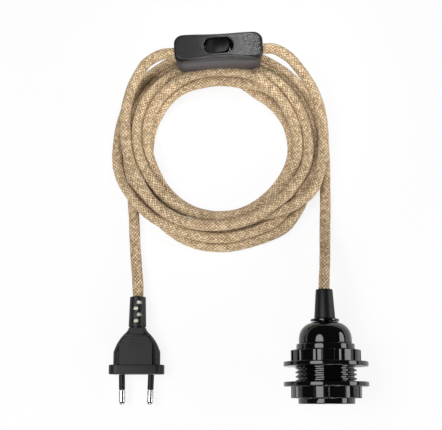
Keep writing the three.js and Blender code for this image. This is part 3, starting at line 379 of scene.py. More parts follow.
def cubic(x, y, q):
    """A cubic through the points x, y that never overshoots them, at each q."""
    x, y = np.asarray(x, float), np.asarray(y, float)
    h = np.diff(x)
    slope = np.diff(y) / h
    m = np.zeros_like(y)
    m[0], m[-1] = slope[0], slope[-1]
    for i in range(1, len(x) - 1):
        if slope[i - 1] * slope[i] > 0:
            w1, w2 = 2 * h[i] + h[i - 1], h[i] + 2 * h[i - 1]
            m[i] = (w1 + w2) / (w1 / slope[i - 1] + w2 / slope[i])
    i = np.clip(np.searchsorted(x, q, side="right") - 1, 0, len(x) - 2)
    t = (q - x[i]) / h[i]
    rise = (2 * t**3 - 3 * t**2 + 1) * y[i] + (3 * t**2 - 2 * t**3) * y[i + 1]
    return rise + (t**3 - 2 * t**2 + t) * h[i] * m[i] + (t**3 - t**2) * h[i] * m[i + 1]


def coiled(lay):
    """The coiled stretch of a cord, from its lay."""
    angle, lane, height = np.array(lay).T
    q = np.arange(angle[0], angle[-1] + 0.001, 3.0)
    radius = LANE_FIRST + LANE_STEP * cubic(angle, lane, q)[:, None]
    turn = np.radians(q)
    x = COIL_CENTRE[0] - radius[:, 0] * np.cos(turn)
    y = COIL_CENTRE[1] + radius[:, 1] * np.sin(turn)
    return np.column_stack([x, y, cubic(angle, height, q)])


def settle(p, free, first):
    """Lets both cords come to rest on the table, on each other and under the switch."""
    for _ in range(SMOOTHINGS):
        q = p.copy()
        k = np.nonzero(free)[0]
        q[k] = 0.25 * p[k - 1] + 0.5 * p[k] + 0.25 * p[k + 1]
        p = q
    target = p.copy()
    index = np.arange(len(p))
    link = np.nonzero(first[1:] == first[:-1])[0]
    rest = np.linalg.norm(p[link + 1] - p[link], axis=1)
    distant = np.abs(index[:, None] - link[None, :] - 0.5) > OWN_LINKS
    apart = distant | (first[:, None] != first[link][None, :])
    inner = free.copy()
    inner[[0, -1]] = False
    inner = np.nonzero(inner)[0]
    table, roof = CORD / 2, SWITCH_PLACE[2] - CORD / 2 - ROOF_GAP
    move = free.astype(float)[:, None]
    for step in range(SETTLE_STEPS):
        p[free, 2] -= FALL
        pull = PULL if step < SETTLE_STEPS * LATE else LATE_PULL
        p[free, :2] += pull * (target[free, :2] - p[free, :2])
        p[free, 2] += LIFT * (target[free, 2] - p[free, 2])
        if step % PAIR_STEPS == 0:
            middle = 0.5 * (p[link] + p[link + 1])
            d2 = ((p[:, None, :] - middle[None, :, :]) ** 2).sum(2)
            near, other = np.nonzero((d2 < PAIR_REACH**2) & apart)
        for _ in range(3):
            a, b, q = p[link[other]], p[link[other] + 1], p[near]
            ab = b - a
            t = np.clip(((q - a) * ab).sum(1) / (ab**2).sum(1), 0, 1)
            gap = q - a - t[:, None] * ab
            dist = np.linalg.norm(gap, axis=1)
            hit = dist < CORD
            push = gap[hit] / np.maximum(dist[hit], 1e-6)[:, None]
            push *= ((CORD - dist[hit]) * PUSH)[:, None]
            add, count = np.zeros_like(p), np.zeros(len(p))
            i, j, t = near[hit], link[other[hit]], t[hit]
            for at, value, share in (
                (i, push, np.ones(len(t))), (j, -push, 1 - t), (j + 1, -push, t)
            ):
                np.add.at(add, at, value * share[:, None])
                np.add.at(count, at, share)
            p += add / np.maximum(count, 1)[:, None] * move * PUSH_GAIN
            line = p[link + 1] - p[link]
            length = np.linalg.norm(line, axis=1)
            fix = line / length[:, None] * ((length - rest) * STRETCH)[:, None]
            add = np.zeros_like(p)
            np.add.at(add, link, fix)
            np.add.at(add, link + 1, -fix)
            p += add * move
            away = np.abs(p[:, :2] - SWITCH_PLACE[:2])
            under = (away[:, 0] < ROOF_REACH[0]) & (away[:, 1] < ROOF_REACH[1])
            p[under & free & (p[:, 2] > roof), 2] = roof
            p[free & (p[:, 2] < table), 2] = table
        shift = p - target
        eased = shift.copy()
        eased[inner] += EASE * (0.5 * (shift[inner - 1] + shift[inner + 1]) - shift[inner])
        p = target + eased
        p[free & (p[:, 2] < table), 2] = table
    return p


def lay_cords():
    """Centre lines of the plug's and the lampholder's cord, both to the switch, in millimetres."""
    ways, held = [], []
    for tail, lay, lead in (
        (PLUG_TAIL, PLUG_LAY, LEAD_LEFT),
        (HOLDER_TAIL, HOLDER_LAY[::-1], LEAD_RIGHT),
    ):
        turns = coiled(sorted(lay))
        if lay[0][0] > lay[-1][0]:
            turns = turns[::-1]
        start, end = smooth(tail, 12), smooth(lead, 12)[::-1]
        way = even(smooth(np.vstack([start[::6], turns[::3], end[::6]]), 10), CORD_SPACING)
        s = along(way)
        tail_length, lead_length = (along(np.array(w, float))[-1] for w in (tail, lead))
        ways.append(way)
        held.append((s < tail_length - HELD_BACK) | (s > s[-1] - lead_length + HELD_BACK))
    first = np.repeat([0, 1], [len(w) for w in ways])
    p = settle(np.vstack(ways), ~np.concatenate(held), first)
    return p[first == 0], p[first == 1]


def as_object(name, bm):
    """An object of the scene from a mesh under construction, which is freed."""
    mesh = bpy.data.meshes.new(name)
    bm.to_mesh(mesh)
    bm.free()
    obj = bpy.data.objects.new(name, mesh)
    bpy.context.scene.collection.objects.link(obj)
    return obj


def put(name, bm, body, slot, node_name, finish=None, angle=40):
    """A finished piece that rides on a CAD body and stands for a CAD node."""
    bmesh.ops.recalc_face_normals(bm, faces=bm.faces)
    for face in bm.faces:
        face.smooth = True
    obj = as_object(name, bm)
    obj.data.set_sharp_from_angle(angle=math.radians(angle))
    obj.data.materials.append(MADE[finish or slot])
    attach(obj, body)
    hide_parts(node_name)


def moved(bm, by):
    """Moves a form."""
    bmesh.ops.translate(bm, vec=by, verts=bm.verts)
    return bm


def spun(bm, angle, axis):
    """Turns a form about one of its own axes."""
    turn = Matrix.Rotation(angle, 3, axis)
    bmesh.ops.rotate(bm, cent=(0, 0, 0), matrix=turn, verts=bm.verts)
    return bm


def bevelled(bm, edges, width):
    """Rounds edges of a form."""
    bmesh.ops.bevel(
        bm, geom=edges, offset=width, offset_type="OFFSET", segments=3, profile=0.5,
        affect="EDGES", clamp_overlap=True, material=-1,
    )
    return bm


def quarter(steps, first=0):
    """Sine and cosine at even steps over a quarter turn."""
    for k in range(first, steps + 1):
        t = k / steps * math.pi / 2
        yield math.sin(t), math.cos(t)


def turned(profile, steps=96, shape=None):
    """A profile of (radius, height) spun about Z. shape(radius, height, angle) alters a radius."""
    bm = bmesh.new()
    verts = [bm.verts.new((r, 0, z)) for r, z in profile]
    pairs = list(zip(verts, verts[1:]))
    if profile[0][0] > WELD or profile[-1][0] > WELD:
        pairs.append((verts[-1], verts[0]))
    edges = [bm.edges.new(pair) for pair in pairs]
    bmesh.ops.spin(
        bm, geom=verts + edges, cent=(0, 0, 0), axis=(0, 0, 1), dvec=(0, 0, 0),
        angle=FULL_TURN, steps=steps, use_merge=True,
    )
    bmesh.ops.remove_doubles(bm, verts=bm.verts, dist=WELD)
    if shape:
        for v in bm.verts:
            r = math.hypot(v.co.x, v.co.y)
            if r > 1e-6:
                k = shape(r, v.co.z, math.atan2(v.co.y, v.co.x)) / r
                v.co.x *= k
                v.co.y *= k
    return bm


def rounded(corners, radius=EDGE, count=4, closed=True):
    """A profile with its corners rounded. A corner may carry its own radius as a third value."""
    out = []
    n = len(corners)
    for i, corner in enumerate(corners):
        r = corner[2] if len(corner) > 2 else radius
        p = np.array(corner[:2], float)
        if not closed and i in (0, n - 1) or r <= 0:
            out.append(tuple(p))
            continue
        a = np.array(corners[i - 1][:2], float) - p
        b = np.array(corners[(i + 1) % n][:2], float) - p
        la, lb = np.linalg.norm(a), np.linalg.norm(b)
        half = math.acos(np.clip(a @ b / (la * lb), -1, 1)) / 2
        if half > NEARLY_STRAIGHT:
            out.append(tuple(p))
            continue
        reach = min(r / math.tan(half), 0.48 * la, 0.48 * lb)
        s, e = p + a / la * reach, p + b / lb * reach
        for k in range(count + 1):
            t = k / count
            out.append(tuple((1 - t) ** 2 * s + 2 * t * (1 - t) * p + t * t * e))
    return out


def holder_place(bm):
    """Lays a piece built on the lampholder's own axis down on the table."""
    down = Matrix.Rotation(-math.pi / 2, 4, "X")
    place = Matrix.Translation((0, -HOLDER_LENGTH / 2, FLANGE_RADIUS)) @ down
    bmesh.ops.transform(bm, matrix=place, verts=bm.verts)


def switch_place(bm):
    """Turns a piece of the switch and puts it on the coil."""
    turn = Matrix.Rotation(SWITCH_TURN, 4, "Z")
    place = Matrix.Translation([v * MM for v in SWITCH_PLACE]) @ turn
    bmesh.ops.transform(bm, matrix=place, verts=bm.verts)


def loft(rings, caps=(True, True)):
    """Faces between rings of points, each with the same count, and a face over each capped end."""
    bm = bmesh.new()
    made = [[bm.verts.new(p) for p in ring] for ring in rings]
    n = len(rings[0])
    for lower, upper in zip(made, made[1:]):
        for i in range(n):
            j = (i + 1) % n
            bm.faces.new((lower[i], lower[j], upper[j], upper[i]))
    if caps[0]:
        bm.faces.new(reversed(made[0]))
    if caps[1]:
        bm.faces.new(made[-1])
    return bm


def frames(path):
    """Two directions across the path at each of its points, carried along without twist."""
    tangent = np.gradient(path, axis=0)
    tangent /= np.linalg.norm(tangent, axis=1)[:, None]
    side = np.zeros_like(path)
    start = np.cross(tangent[0], (0, 0, 1))
    side[0] = start / np.linalg.norm(start)
    for i in range(1, len(path)):
        s = side[i - 1] - (side[i - 1] @ tangent[i]) * tangent[i]
        side[i] = s / np.linalg.norm(s)
    return tangent, side, np.cross(tangent, side)


def fibre(rng, at, out, ahead):
    """Corners of a thin, bent fibre that stands out of the cord. None if it meets the table."""
    lean = ahead * rng.uniform(-1, 1) + np.cross(ahead, out) * rng.uniform(-1, 1)
    root = at + out * CORD / 2 * 0.97
    reach = rng.uniform(*FIBRE_REACH)
    middle = root + out * reach * 0.5 + lean * reach * 0.5
    tip = root + out * reach * rng.uniform(0.3, 0.9) + lean * reach * 1.4
    wide = np.cross(out, lean)
    wide *= rng.uniform(*FIBRE_WIDTH) / max(np.linalg.norm(wide), 1e-6)
    if min(root[2], middle[2], tip[2]) < FIBRE_LOWEST:
        return None
    return root - wide, root + wide, middle - wide, middle + wide, tip


def cord_mesh(name, path, fibres, seed):
    """A textile cord: a tube with slubs, and short loose fibres, with its length and turn as UV."""
    rng = np.random.default_rng(seed)
    fine = even(smooth(path, 6), CORD_RING)
    s = along(fine)
    tangent, side, up = frames(fine)
    grid = np.arange(0, s[-1] + 40, SLUB_SPACING)
    slub = 1 + SLUB * cubic(grid, np.clip(rng.normal(size=len(grid)), -2, 2), s)
    turn = np.linspace(0, FULL_TURN, CORD_SIDES, endpoint=False)
    uneven = 1 + UNEVEN * rng.normal(size=(len(fine), CORD_SIDES))
    radius = (CORD / 2 * slub)[:, None] * uneven
    cosine, sine = np.cos(turn)[None, :, None], np.sin(turn)[None, :, None]
    points = fine[:, None, :] + radius[:, :, None] * (cosine * side[:, None] + sine * up[:, None])
    bm = bmesh.new()
    uv = bm.loops.layers.uv.new("braid")
    rings = [[bm.verts.new(p * MM) for p in ring] for ring in points]
    for i in range(len(rings) - 1):
        u0, u1 = s[i] * MM, s[i + 1] * MM
        for j in range(CORD_SIDES):
            k = (j + 1) % CORD_SIDES
            face = bm.faces.new((rings[i][j], rings[i][k], rings[i + 1][k], rings[i + 1][j]))
            v0, v1 = j / CORD_SIDES, (j + 1) / CORD_SIDES
            for loop, at in zip(face.loops, ((u0, v0), (u0, v1), (u1, v1), (u1, v0))):
                loop[uv].uv = at
    bm.faces.new(reversed(rings[0]))
    bm.faces.new(rings[-1])
    for _ in range(int(s[-1] * fibres)):
        i = rng.integers(12, len(fine) - 12)
        a = rng.uniform(0, FULL_TURN)
        strand = fibre(rng, fine[i], np.cos(a) * side[i] + np.sin(a) * up[i], tangent[i])
        if strand is None:
            continue
        verts = [bm.verts.new(q * MM) for q in strand]
        for ids in ((0, 1, 3, 2), (2, 3, 4)):
            face = bm.faces.new([verts[k] for k in ids])
            for loop in face.loops:
                loop[uv].uv = (s[i] * MM, a / FULL_TURN)
    for face in bm.faces:
        face.smooth = True
    return as_object(name, bm), fine * MM


def add_node(tree, kind, sockets=None, **settings):
    """A shader node with its settings. Each socket gets a value, or the output that feeds it."""
    made = tree.nodes.new(kind)
    for name, value in settings.items():
        setattr(made, name, value)
    feed(tree, made, sockets or {})
    return made


def feed(tree, made, sockets):
    """Gives each named socket of a node its value, or the output that feeds it."""
    for name, value in sockets.items():
        if isinstance(value, bpy.types.NodeSocket):
            tree.links.new(value, made.inputs[name])
        else:
            made.inputs[name].default_value = value


def maths(tree, operation, a, b=None):
    """A math node on outputs or numbers, and its result."""
    sockets = {0: a} if b is None else {0: a, 1: b}
    return add_node(tree, "ShaderNodeMath", sockets, operation=operation).outputs[0]


def add_noise(tree, scale, **sockets):
    """Noise in the piece's own coordinates."""
    where = tree.nodes.new("ShaderNodeTexCoord").outputs["Object"]
    return add_node(tree, "ShaderNodeTexNoise", {"Vector": where, "Scale": scale, **sockets})


def add_bump(tree, shader, height, strength, distance):
    """Relief in the shading, from a height."""
    sockets = {"Height": height, "Strength": strength, "Distance": distance}
    feed(tree, shader, {"Normal": add_node(tree, "ShaderNodeBump", sockets).outputs[0]})


def add_mottle(tree, shader, noise, low, high):
    """Roughness that wanders between two values."""
    sockets = {"Value": noise.outputs[0], "To Min": low, "To Max": high}
    feed(tree, shader, {"Roughness": add_node(tree, "ShaderNodeMapRange", sockets).outputs[0]})


def braid_group():
    """Height and cell of a braided cover, from a UV with the length in metres and the turn."""
    group = bpy.data.node_groups.new("braid", "ShaderNodeTree")
    for name, in_out, kind in (
        ("Vector", "INPUT", "Vector"), ("Yarns", "INPUT", "Float"),
        ("Cells per metre", "INPUT", "Float"), ("Height", "OUTPUT", "Float"),
        ("Cell", "OUTPUT", "Vector"),
    ):
        group.interface.new_socket(name, in_out=in_out, socket_type="NodeSocket" + kind)
    source = group.nodes.new("NodeGroupInput").outputs
    split = add_node(group, "ShaderNodeSeparateXYZ", {0: source["Vector"]})
    around = maths(group, "MULTIPLY", split.outputs[1], source["Yarns"])
    forward = maths(group, "MULTIPLY", split.outputs[0], source["Cells per metre"])
    diagonals = [maths(group, way, around, forward) for way in ("ADD", "SUBTRACT")]
    whole = [maths(group, "FLOOR", x) for x in diagonals]
    part = [maths(group, "FRACT", x) for x in diagonals]
    wave = [maths(group, "SINE", maths(group, "MULTIPLY", x, math.pi)) for x in part]
    over = maths(group, "MODULO", maths(group, "ABSOLUTE", maths(group, "ADD", *whole)), 2.0)
    soft = [maths(group, "POWER", x, 0.6) for x in wave]
    dip = [maths(group, "ADD", maths(group, "MULTIPLY", x, 0.6), 0.4) for x in soft]
    first = maths(group, "MULTIPLY", maths(group, "MULTIPLY", soft[0], dip[1]), over)
    under = maths(group, "SUBTRACT", 1.0, over)
    second = maths(group, "MULTIPLY", maths(group, "MULTIPLY", soft[1], dip[0]), under)
    cell = add_node(group, "ShaderNodeCombineXYZ", {0: whole[0], 1: whole[1]})
    height = maths(group, "ADD", first, second)
    add_node(group, "NodeGroupOutput", {"Height": height, "Cell": cell.outputs[0]})
    return group


def new_material(name):
    """A material with its node tree and shader, kept in MADE by its name."""
    material = MADE[name] = bpy.data.materials.new(name)
    material.use_nodes = True
    return material, material.node_tree, material.node_tree.nodes["Principled BSDF"]


def plastic(name, colour, roughness, grain=0.0, grain_size=0.0004, mottle=0.0, specular=0.5):
    """A moulded plastic, with an optional fine grain and slight uneven sheen."""
    _, tree, shader = new_material(name)
    look = {"Base Color": (*colour, 1), "Roughness": roughness, "Specular IOR Level": specular}
    feed(tree, shader, look)
    if mottle:
        noise = add_noise(tree, MOTTLE_SCALE, Detail=4)
        add_mottle(tree, shader, noise, roughness - mottle, roughness + mottle)
    if grain:
        noise = add_noise(tree, 1 / grain_size, Detail=3)
        add_bump(tree, shader, noise.outputs[0], grain, GRAIN_RELIEF)


def metal(name, colour, roughness):
    """A plain metal with a slightly uneven polish."""
    _, tree, shader = new_material(name)
    feed(tree, shader, {"Base Color": (*colour, 1), "Metallic": 1})
    noise = add_noise(tree, POLISH_SCALE)
    add_mottle(tree, shader, noise, roughness * 0.7, roughness * 1.3)


def textile(colours, sizes):
    """Braided natural fibre: yarns over and under, uneven in tone, with painted shade in the gaps
    and painted highlight on the yarn tops.
    """
    _, tree, shader = new_material(JUTE)
    lengthways = add_node(tree, "ShaderNodeUVMap", uv_map="braid").outputs[0]
    drift = add_noise(tree, DRIFT_SCALE, Detail=2).outputs[1]
    nudged = add_node(
        tree, "ShaderNodeVectorMath", {0: drift, 1: BRAID_DRIFT, 2: lengthways},
        operation="MULTIPLY_ADD",
    )
    sockets = {
        "Vector": nudged.outputs[0], "Yarns": sizes.yarns, "Cells per metre": sizes.braid_cells,
    }
    braid = add_node(tree, "ShaderNodeGroup", node_tree=braid_group())
    feed(tree, braid, sockets)
    fibres = add_noise(tree, FIBRE_SCALE, Detail=4, Roughness=0.7).outputs[0]
    yarns = add_node(tree, "ShaderNodeTexWhiteNoise", {"Vector": braid.outputs["Cell"]})
    patches = add_noise(tree, PATCH_SCALE, Detail=3).outputs[0]
    # Painted shade and highlight: low braid height darkens the gaps, high braid height lightens the
    # yarn tops; the noises add random tone
    height = braid.outputs["Height"]
    shade = maths(tree, "MULTIPLY", height, BRAID_PAINTED_SHADE)
    for part, weight in (
        (fibres, FIBRE_SHADE), (yarns.outputs[0], YARN_SHADE), (patches, PATCH_SHADE)
    ):
        shade = maths(tree, "ADD", shade, maths(tree, "MULTIPLY", part, weight))
    ramp = add_node(tree, "ShaderNodeValToRGB", {0: shade})
    stops = ramp.color_ramp.elements
    stops[0].position, stops[1].position = JUTE_STOPS[0], JUTE_STOPS[-1]
    stops[0].color, stops[1].color = (*colours[0], 1), (*colours[-1], 1)
    for at, colour in zip(JUTE_STOPS[1:-1], colours[1:-1]):
        stops.new(at).color = (*colour, 1)
    feed(tree, shader, {
        "Base Color": ramp.outputs[0], "Roughness": 0.92, "Specular IOR Level": 0.25,
        "Sheen Weight": 0.12, "Sheen Roughness": 0.6,
    })
    rough = maths(tree, "ADD", height, maths(tree, "MULTIPLY", fibres, 0.5))
    add_bump(tree, shader, rough, 0.8, BRAID_RELIEF)


def make_materials():
    """All finishes. Most are named after the record's slots."""
    c, sizes = bpy.context.scene.cord_set_looks, bpy.context.scene.cord_set_sizes
    plastic(GLOSS, c.gloss, 0.08)
    plastic(SATIN, c.satin, 0.45, 0.15, specular=0.3)
    plastic(PLUG, c.plug, 0.42, 0.2, 0.0003, specular=0.3)
    plastic(HOUSING, c.housing, 0.34, 1.0, 0.0009, 0.16, specular=0.34)
    plastic("base_plastic", c.base, 0.38, 0.2, 0.0004)
    plastic("rocker_plastic", c.gloss, 0.3, specular=0.22)
    plastic("insulator_plastic", (0.68, 0.64, 0.55), 0.55)
    metal("brass", (0.62, 0.43, 0.16), 0.28)
    metal("nickel", (0.60, 0.60, 0.58), 0.18)
    metal("steel", (0.40, 0.41, 0.42), 0.35)
    textile((c.jute_dark_and_gap_shade, c.jute_darker_and_side_shade, c.jute, c.jute_light_and_top_highlight), sizes)
    plastic("brown_core", (0.11, 0.05, 0.025), 0.45)
    plastic("blue_core", (0.045, 0.12, 0.36), 0.45)
    plastic("cream_sheath", c.cream, 0.5)


def join_into(bm, other):
    """Adds a second closed form to the first, and empties it."""
    mesh = bpy.data.meshes.new("join")
    other.to_mesh(mesh)
    other.free()
    bm.from_mesh(mesh)
    bpy.data.meshes.remove(mesh)


def boolean(bm, other, operation):
    """The first form with the second one cut out of it or added to it."""
    for form in (bm, other):
        bmesh.ops.recalc_face_normals(form, faces=form.faces)
    made = [as_object("form", form) for form in (bm, other)]
    change = made[0].modifiers.new("boolean", "BOOLEAN")
    change.object = made[1]
    change.operation = operation
    change.solver = "MANIFOLD"
    result = bmesh.new()
    depsgraph = bpy.context.evaluated_depsgraph_get()
    result.from_mesh(made[0].evaluated_get(depsgraph).to_mesh())
    for obj in made:
        mesh = obj.data
        bpy.data.objects.remove(obj)
        bpy.data.meshes.remove(mesh)
    bmesh.ops.remove_doubles(result, verts=result.verts, dist=1e-6)
    return result


def block(size, centre, soft=0.0):
    """A box with its edges rounded."""
    bm = bmesh.new()
    bmesh.ops.create_cube(bm, size=1)
    bmesh.ops.scale(bm, vec=size, verts=bm.verts)
    moved(bm, centre)
    return bevelled(bm, bm.edges, soft) if soft else bm


def mirrored_block(box, side):
    """A box given by its size and middle, at the left (-1) or right (1) end."""
    size, (x, y, z) = box
    return block(size, (side * x, y, z))


def rod(radius, start, end, steps=40):
    """A round bar along Z."""
    return turned([(0, start), (radius, start), (radius, end), (0, end)], steps)


# Lampholder

def thread_wave(share):
    """Rounded thread form, 0 at the root and 1 at the crest."""
    t = min(max(0.5 + 0.8 * math.cos(FULL_TURN * share), 0), 1)
    return t * t * (3 - 2 * t)


def sleeve_form(sizes):
    """Threaded sleeve with its mouth, collar and neck."""
    start, end = RIM - 0.0004, COLLAR - 0.0003
    depth, pitch = sizes.thread_depth, sizes.thread_pitch
    mouth = [(SLEEVE_BORE, 0, 0.0004), (THREAD_ROOT, 0, 0.0007), (THREAD_ROOT, start, 0)]
    profile = [(SLEEVE_BORE + 0.0004, 0)] + rounded(mouth, closed=False)[1:]
    profile += [(THREAD_ROOT, z) for z in np.linspace(start, end, 236)[1:]]
    collar = [
        (THREAD_ROOT, end), (THREAD_ROOT, COLLAR), (COLLAR_RADIUS, COLLAR, EDGE),
        (COLLAR_RADIUS, COLLAR_END, 0.0008), (NECK_RADIUS, COLLAR_END),
        (NECK_RADIUS, NECK_END, FINE_EDGE), (NECK_BORE, NECK_END, FINE_EDGE), (NECK_BORE, SHOULDER),
        (SLEEVE_BORE, SHOULDER), (SLEEVE_BORE, 0.0004),
    ]
    profile += rounded(collar, 0.0001, closed=False)[1:]

    def thread(r, z, turn):
        if abs(r - THREAD_ROOT) > 1e-6 or z < start or z > end:
            return r
        fade = min(1, (z - start) / 0.0008, (end - z) / 0.0008)
        rise = thread_wave((z - RIM) / pitch - 0.5 - turn / FULL_TURN)
        return r + depth * rise * max(fade, 0)

    return turned(profile, 128, thread)


def ring_form(turned_by, sizes):
    """A shade ring: flange at z = 0 and a fluted wall above it."""
    wall = rounded([
        (RING_BORE, 0, EDGE), (FLANGE_RADIUS, 0, FLANGE_EDGE),
        (FLANGE_RADIUS, FLANGE_THICKNESS, FLANGE_EDGE), (RING_WALL, FLANGE_THICKNESS, EDGE),
        (RING_WALL, RING_WALL_END, 0.0005), (RING_BORE, RING_WALL_END, EDGE),
    ])

    def flute(r, z, turn):
        if z < FLANGE_THICKNESS + 0.0001 or r < RING_BORE + 0.0012:
            return r
        share = ((turn - turned_by) / FULL_TURN * sizes.flutes) % 1
        away = abs(share - 0.94 if share > 0.44 else share + 0.06)
        t = min(max((0.19 - away) / 0.09, 0), 1)
        return r - sizes.flute_depth * t * t * (3 - 2 * t)

    return turned(wall, 288, flute)


def dome_radius(radius, share):
    """Radius of a squarish dome at a share of its height."""
    return radius * (1 - share**CAP_SQUARENESS) ** (1 / CAP_SQUARENESS)


def cap_form():
    """Domed cap over the neck."""
    height = CAP_END - CAP_START
    outside = [
        (CAP_BORE, CAP_START), (CAP_RADIUS - 0.0003, CAP_START), (CAP_RADIUS, CAP_START + 0.0003),
    ]
    for sine, _ in quarter(32, 1):
        z = height * sine
        if z > 0.0005:
            share = min(z / (height * 1.02), 1)
            outside.append((dome_radius(CAP_RADIUS, share), CAP_START + z))
    hole = STEM_RADIUS + 0.0003
    inside = []
    domed = height - CAP_WALL - CAP_SKIRT
    for sine, _ in quarter(12):
        z = domed * sine
        r = dome_radius(CAP_BORE, min(z / (domed * 1.1), 1))
        inside.append((max(r, hole), CAP_START + CAP_SKIRT + z))
    return turned(outside + [(hole, CAP_END), (hole, CAP_END - CAP_WALL)] + inside[::-1], 128)


def nipple_form():
    """Flange of the cord grip, its stem and the split collet above it."""
    top, bottom = DISC_END + 0.0118, SHOULDER + 0.0052
    return turned(
        rounded([
            (CORD_BORE, bottom, FINE_EDGE), (STEM_RADIUS, bottom, FINE_EDGE),
            (STEM_RADIUS, DISC_START, KEEN_EDGE), (DISC_RADIUS, DISC_START, EDGE),
            (DISC_RADIUS, DISC_END, 0.0005), (COLLET_RADIUS, DISC_END, KEEN_EDGE),
            (COLLET_RADIUS, top, EDGE), (CORD_BORE, top, FINE_EDGE),
        ]),
        72,
    )


def cone_form():
    """Tapered cone of the cord grip."""
    inner = COLLET_RADIUS + 0.0003
    space = CONE_START + 0.0121
    return turned(rounded([
        (inner, CONE_START, KEEN_EDGE), (CONE_BOTTOM, CONE_START, EDGE),
        (CONE_TOP, HOLDER_LENGTH, 0.0007), (CORD_BORE, HOLDER_LENGTH, EDGE),
        (CORD_BORE, space + 0.002, FINE_EDGE), (inner, space, FINE_EDGE),
    ]))


def shell_form():
    """Brass screw shell with a rolled thread."""
    pitch, wall, depth, outer = 0.0036, 0.0004, 0.001, 0.0137
    end = SHOULDER - 0.0017 - 0.0006 - 0.00045
    start = end - 6 * pitch - wall
    rows = list(np.linspace(start, end, 100))
    seat = outer - wall - 0.004
    profile = [(outer, z) for z in rows] + [(seat, end), (seat, end - wall)]
    profile += [(outer - wall, z) for z in rows[::-1][2:]]

    def rolled(r, z, turn):
        if r < seat + 0.001:
            return r
        fade = max(min(1, (z - start) / 0.002, (end - z) / 0.002), 0)
        wave = 0.5 - 0.5 * math.cos(FULL_TURN * ((z - start) / pitch - turn / FULL_TURN))
        return r - depth * wave * fade

    return turned(profile, 96, rolled)


# Plug

def corner_arc(half, corner, sx, sy, q, steps):
    """Points of one round corner of a rectangle, the q-th quarter turn from +X."""
    for i in range(steps + 1):
        a = (q + i / steps) * math.pi / 2
        yield (
            sx * (half[0] - corner) + corner * math.cos(a),
            sy * (half[1] - corner) + corner * math.sin(a),
        )


def loop_of(half_w, half_d, corner, count=14):
    """Points around a rectangle with round corners."""
    corner = min(corner, half_w - 1e-6, half_d - 1e-6)
    out = []
    for sx, sy, q in QUARTERS:
        out += corner_arc((half_w, half_d), corner, sx, sy, q, count)
    return out


def plug_form():
    """Flange, body, shoulders and neck in one skin, along Y from the face."""
    rows = []

    def row(y, w, d, c):
        rows.append([(x, y, z) for x, z in loop_of(w, d, c)])

    def flange(y, inset):
        row(y, PLUG_HALF - inset, PLUG_DEEP - inset, PLUG_CORNER - inset)

    for sine, cosine in quarter(4):
        flange(PLUG_EDGE * (1 - cosine), PLUG_EDGE * (1 - sine))
    for sine, cosine in quarter(4):
        flange(FLANGE_END - PLUG_EDGE + PLUG_EDGE * sine, PLUG_EDGE * (1 - cosine))
    for sine, cosine in quarter(4):
        out = BODY_FILLET * (1 - sine)
        y = FLANGE_END + BODY_FILLET * (1 - cosine)
        row(y, BODY_HALF + out, BODY_DEEP + out, 0.0047)
    shape = np.array(PLUG_BODY)
    for y in np.linspace(0.0066, 0.0293, 42):
        row(y, *[float(cubic(shape[:, 0], shape[:, k], np.array([y]))[0]) for k in (1, 2, 3)])
    for y, r in NECK_GROOVE:
        row(y, r, r, r)
    for y in np.linspace(NECK_START, NECK_STOP, 30):
        r = NECK_THICK - (NECK_THICK - NECK_THIN) * (y - NECK_START) / 0.019
        row(y, r, r, r)
    for sine, cosine in quarter(4, 1):
        r = NECK_THIN - 0.0006 * (1 - cosine)
        row(NECK_STOP + 0.0005 * sine, r, r, r)
    return loft(rows)


def plate(plan, top, soft):
    """A flat plate through the plug with its upper and lower edges rounded off."""
    rows = []
    middle = np.mean(plan, axis=0)
    for share, inset in ((0, 1), (0.3, 0.3), (1, 0)):
        ring = []
        for p in np.array(plan):
            away = p - middle
            ring.append(p - away / np.linalg.norm(away) * inset * soft)
        rows.append((top - soft * share, ring))
    levels = [(-z, ring) for z, ring in rows] + rows[::-1]
    return loft([[(x, y, z) for x, y in ring] for z, ring in levels])


def panel_form():
    """Raised panel on both faces of the plug's body, and the rib between it and the neck."""
    half, end = PANEL_HALF, PANEL_END
    side = [
        (half, 0.0045, 0), (half, 0.0192, 0.001), (0.0079, 0.0225, 0.001), (0.0066, end, 0.0006),
    ]
    plan = rounded([(-half, 0.0045, 0), *side, *[(-x, y, r) for x, y, r in side[:0:-1]]], 0.0005, 5)
    rib = [(-0.0043, 0.0225), (0.0043, 0.0225), (0.0046, 0.0290), (-0.0046, 0.0290)]
    rib = plate(rounded(rib, 0.0004, 5), RIB_TOP, FINE_EDGE)
    bm = boolean(plate(plan, PANEL_TOP, FINE_EDGE), rib, "UNION")
    bm = boolean(bm, block(RIDGE, (0, end, 0), 0.0004), "UNION")
    for z in (-0.0066, 0.0066):
        for y, length in GRIP_GROOVES:
            bm = boolean(bm, block((length, 0.0005, 0.0012), (0, y, z)), "DIFFERENCE")
    return bm


def grooved(bm):
    """The plug's body with a groove along each side of both panels."""
    x, y, z = SIDE_GROOVE_AT
    for side in (-1, 1):
        for face in (-1, 1):
            bm = boolean(bm, block(SIDE_GROOVE, (side * x, y, face * z)), "DIFFERENCE")
    return bm


def slot_cutter(length, place):
    """What cuts one slot through the plug's neck."""
    x, y = place
    plan = loop_of(length / 2, 0.00115, 0.0009, 5)
    return loft([[(x + a, y + b, z) for a, b in plan] for z in (-0.009, 0.009)])


def pin_form(side):
    """Metal pin with a rounded tip."""
    end = 0.0011
    profile = [
        (0, -0.008, 0), (0.0012, -0.008), (0.0012, PIN_SLEEVE, KEEN_EDGE),
        (PIN_RADIUS, PIN_SLEEVE, FINE_EDGE), (PIN_RADIUS, PIN_LENGTH - end * 1.6, 0.0008),
        (0.00155, PIN_LENGTH - end * 0.5, 0.0008), (0.0008, PIN_LENGTH, 0.0005),
        (0, PIN_LENGTH, 0),
    ]
    return leaned(turned(rounded(profile, 0.0002, 5, closed=False), 48), side)


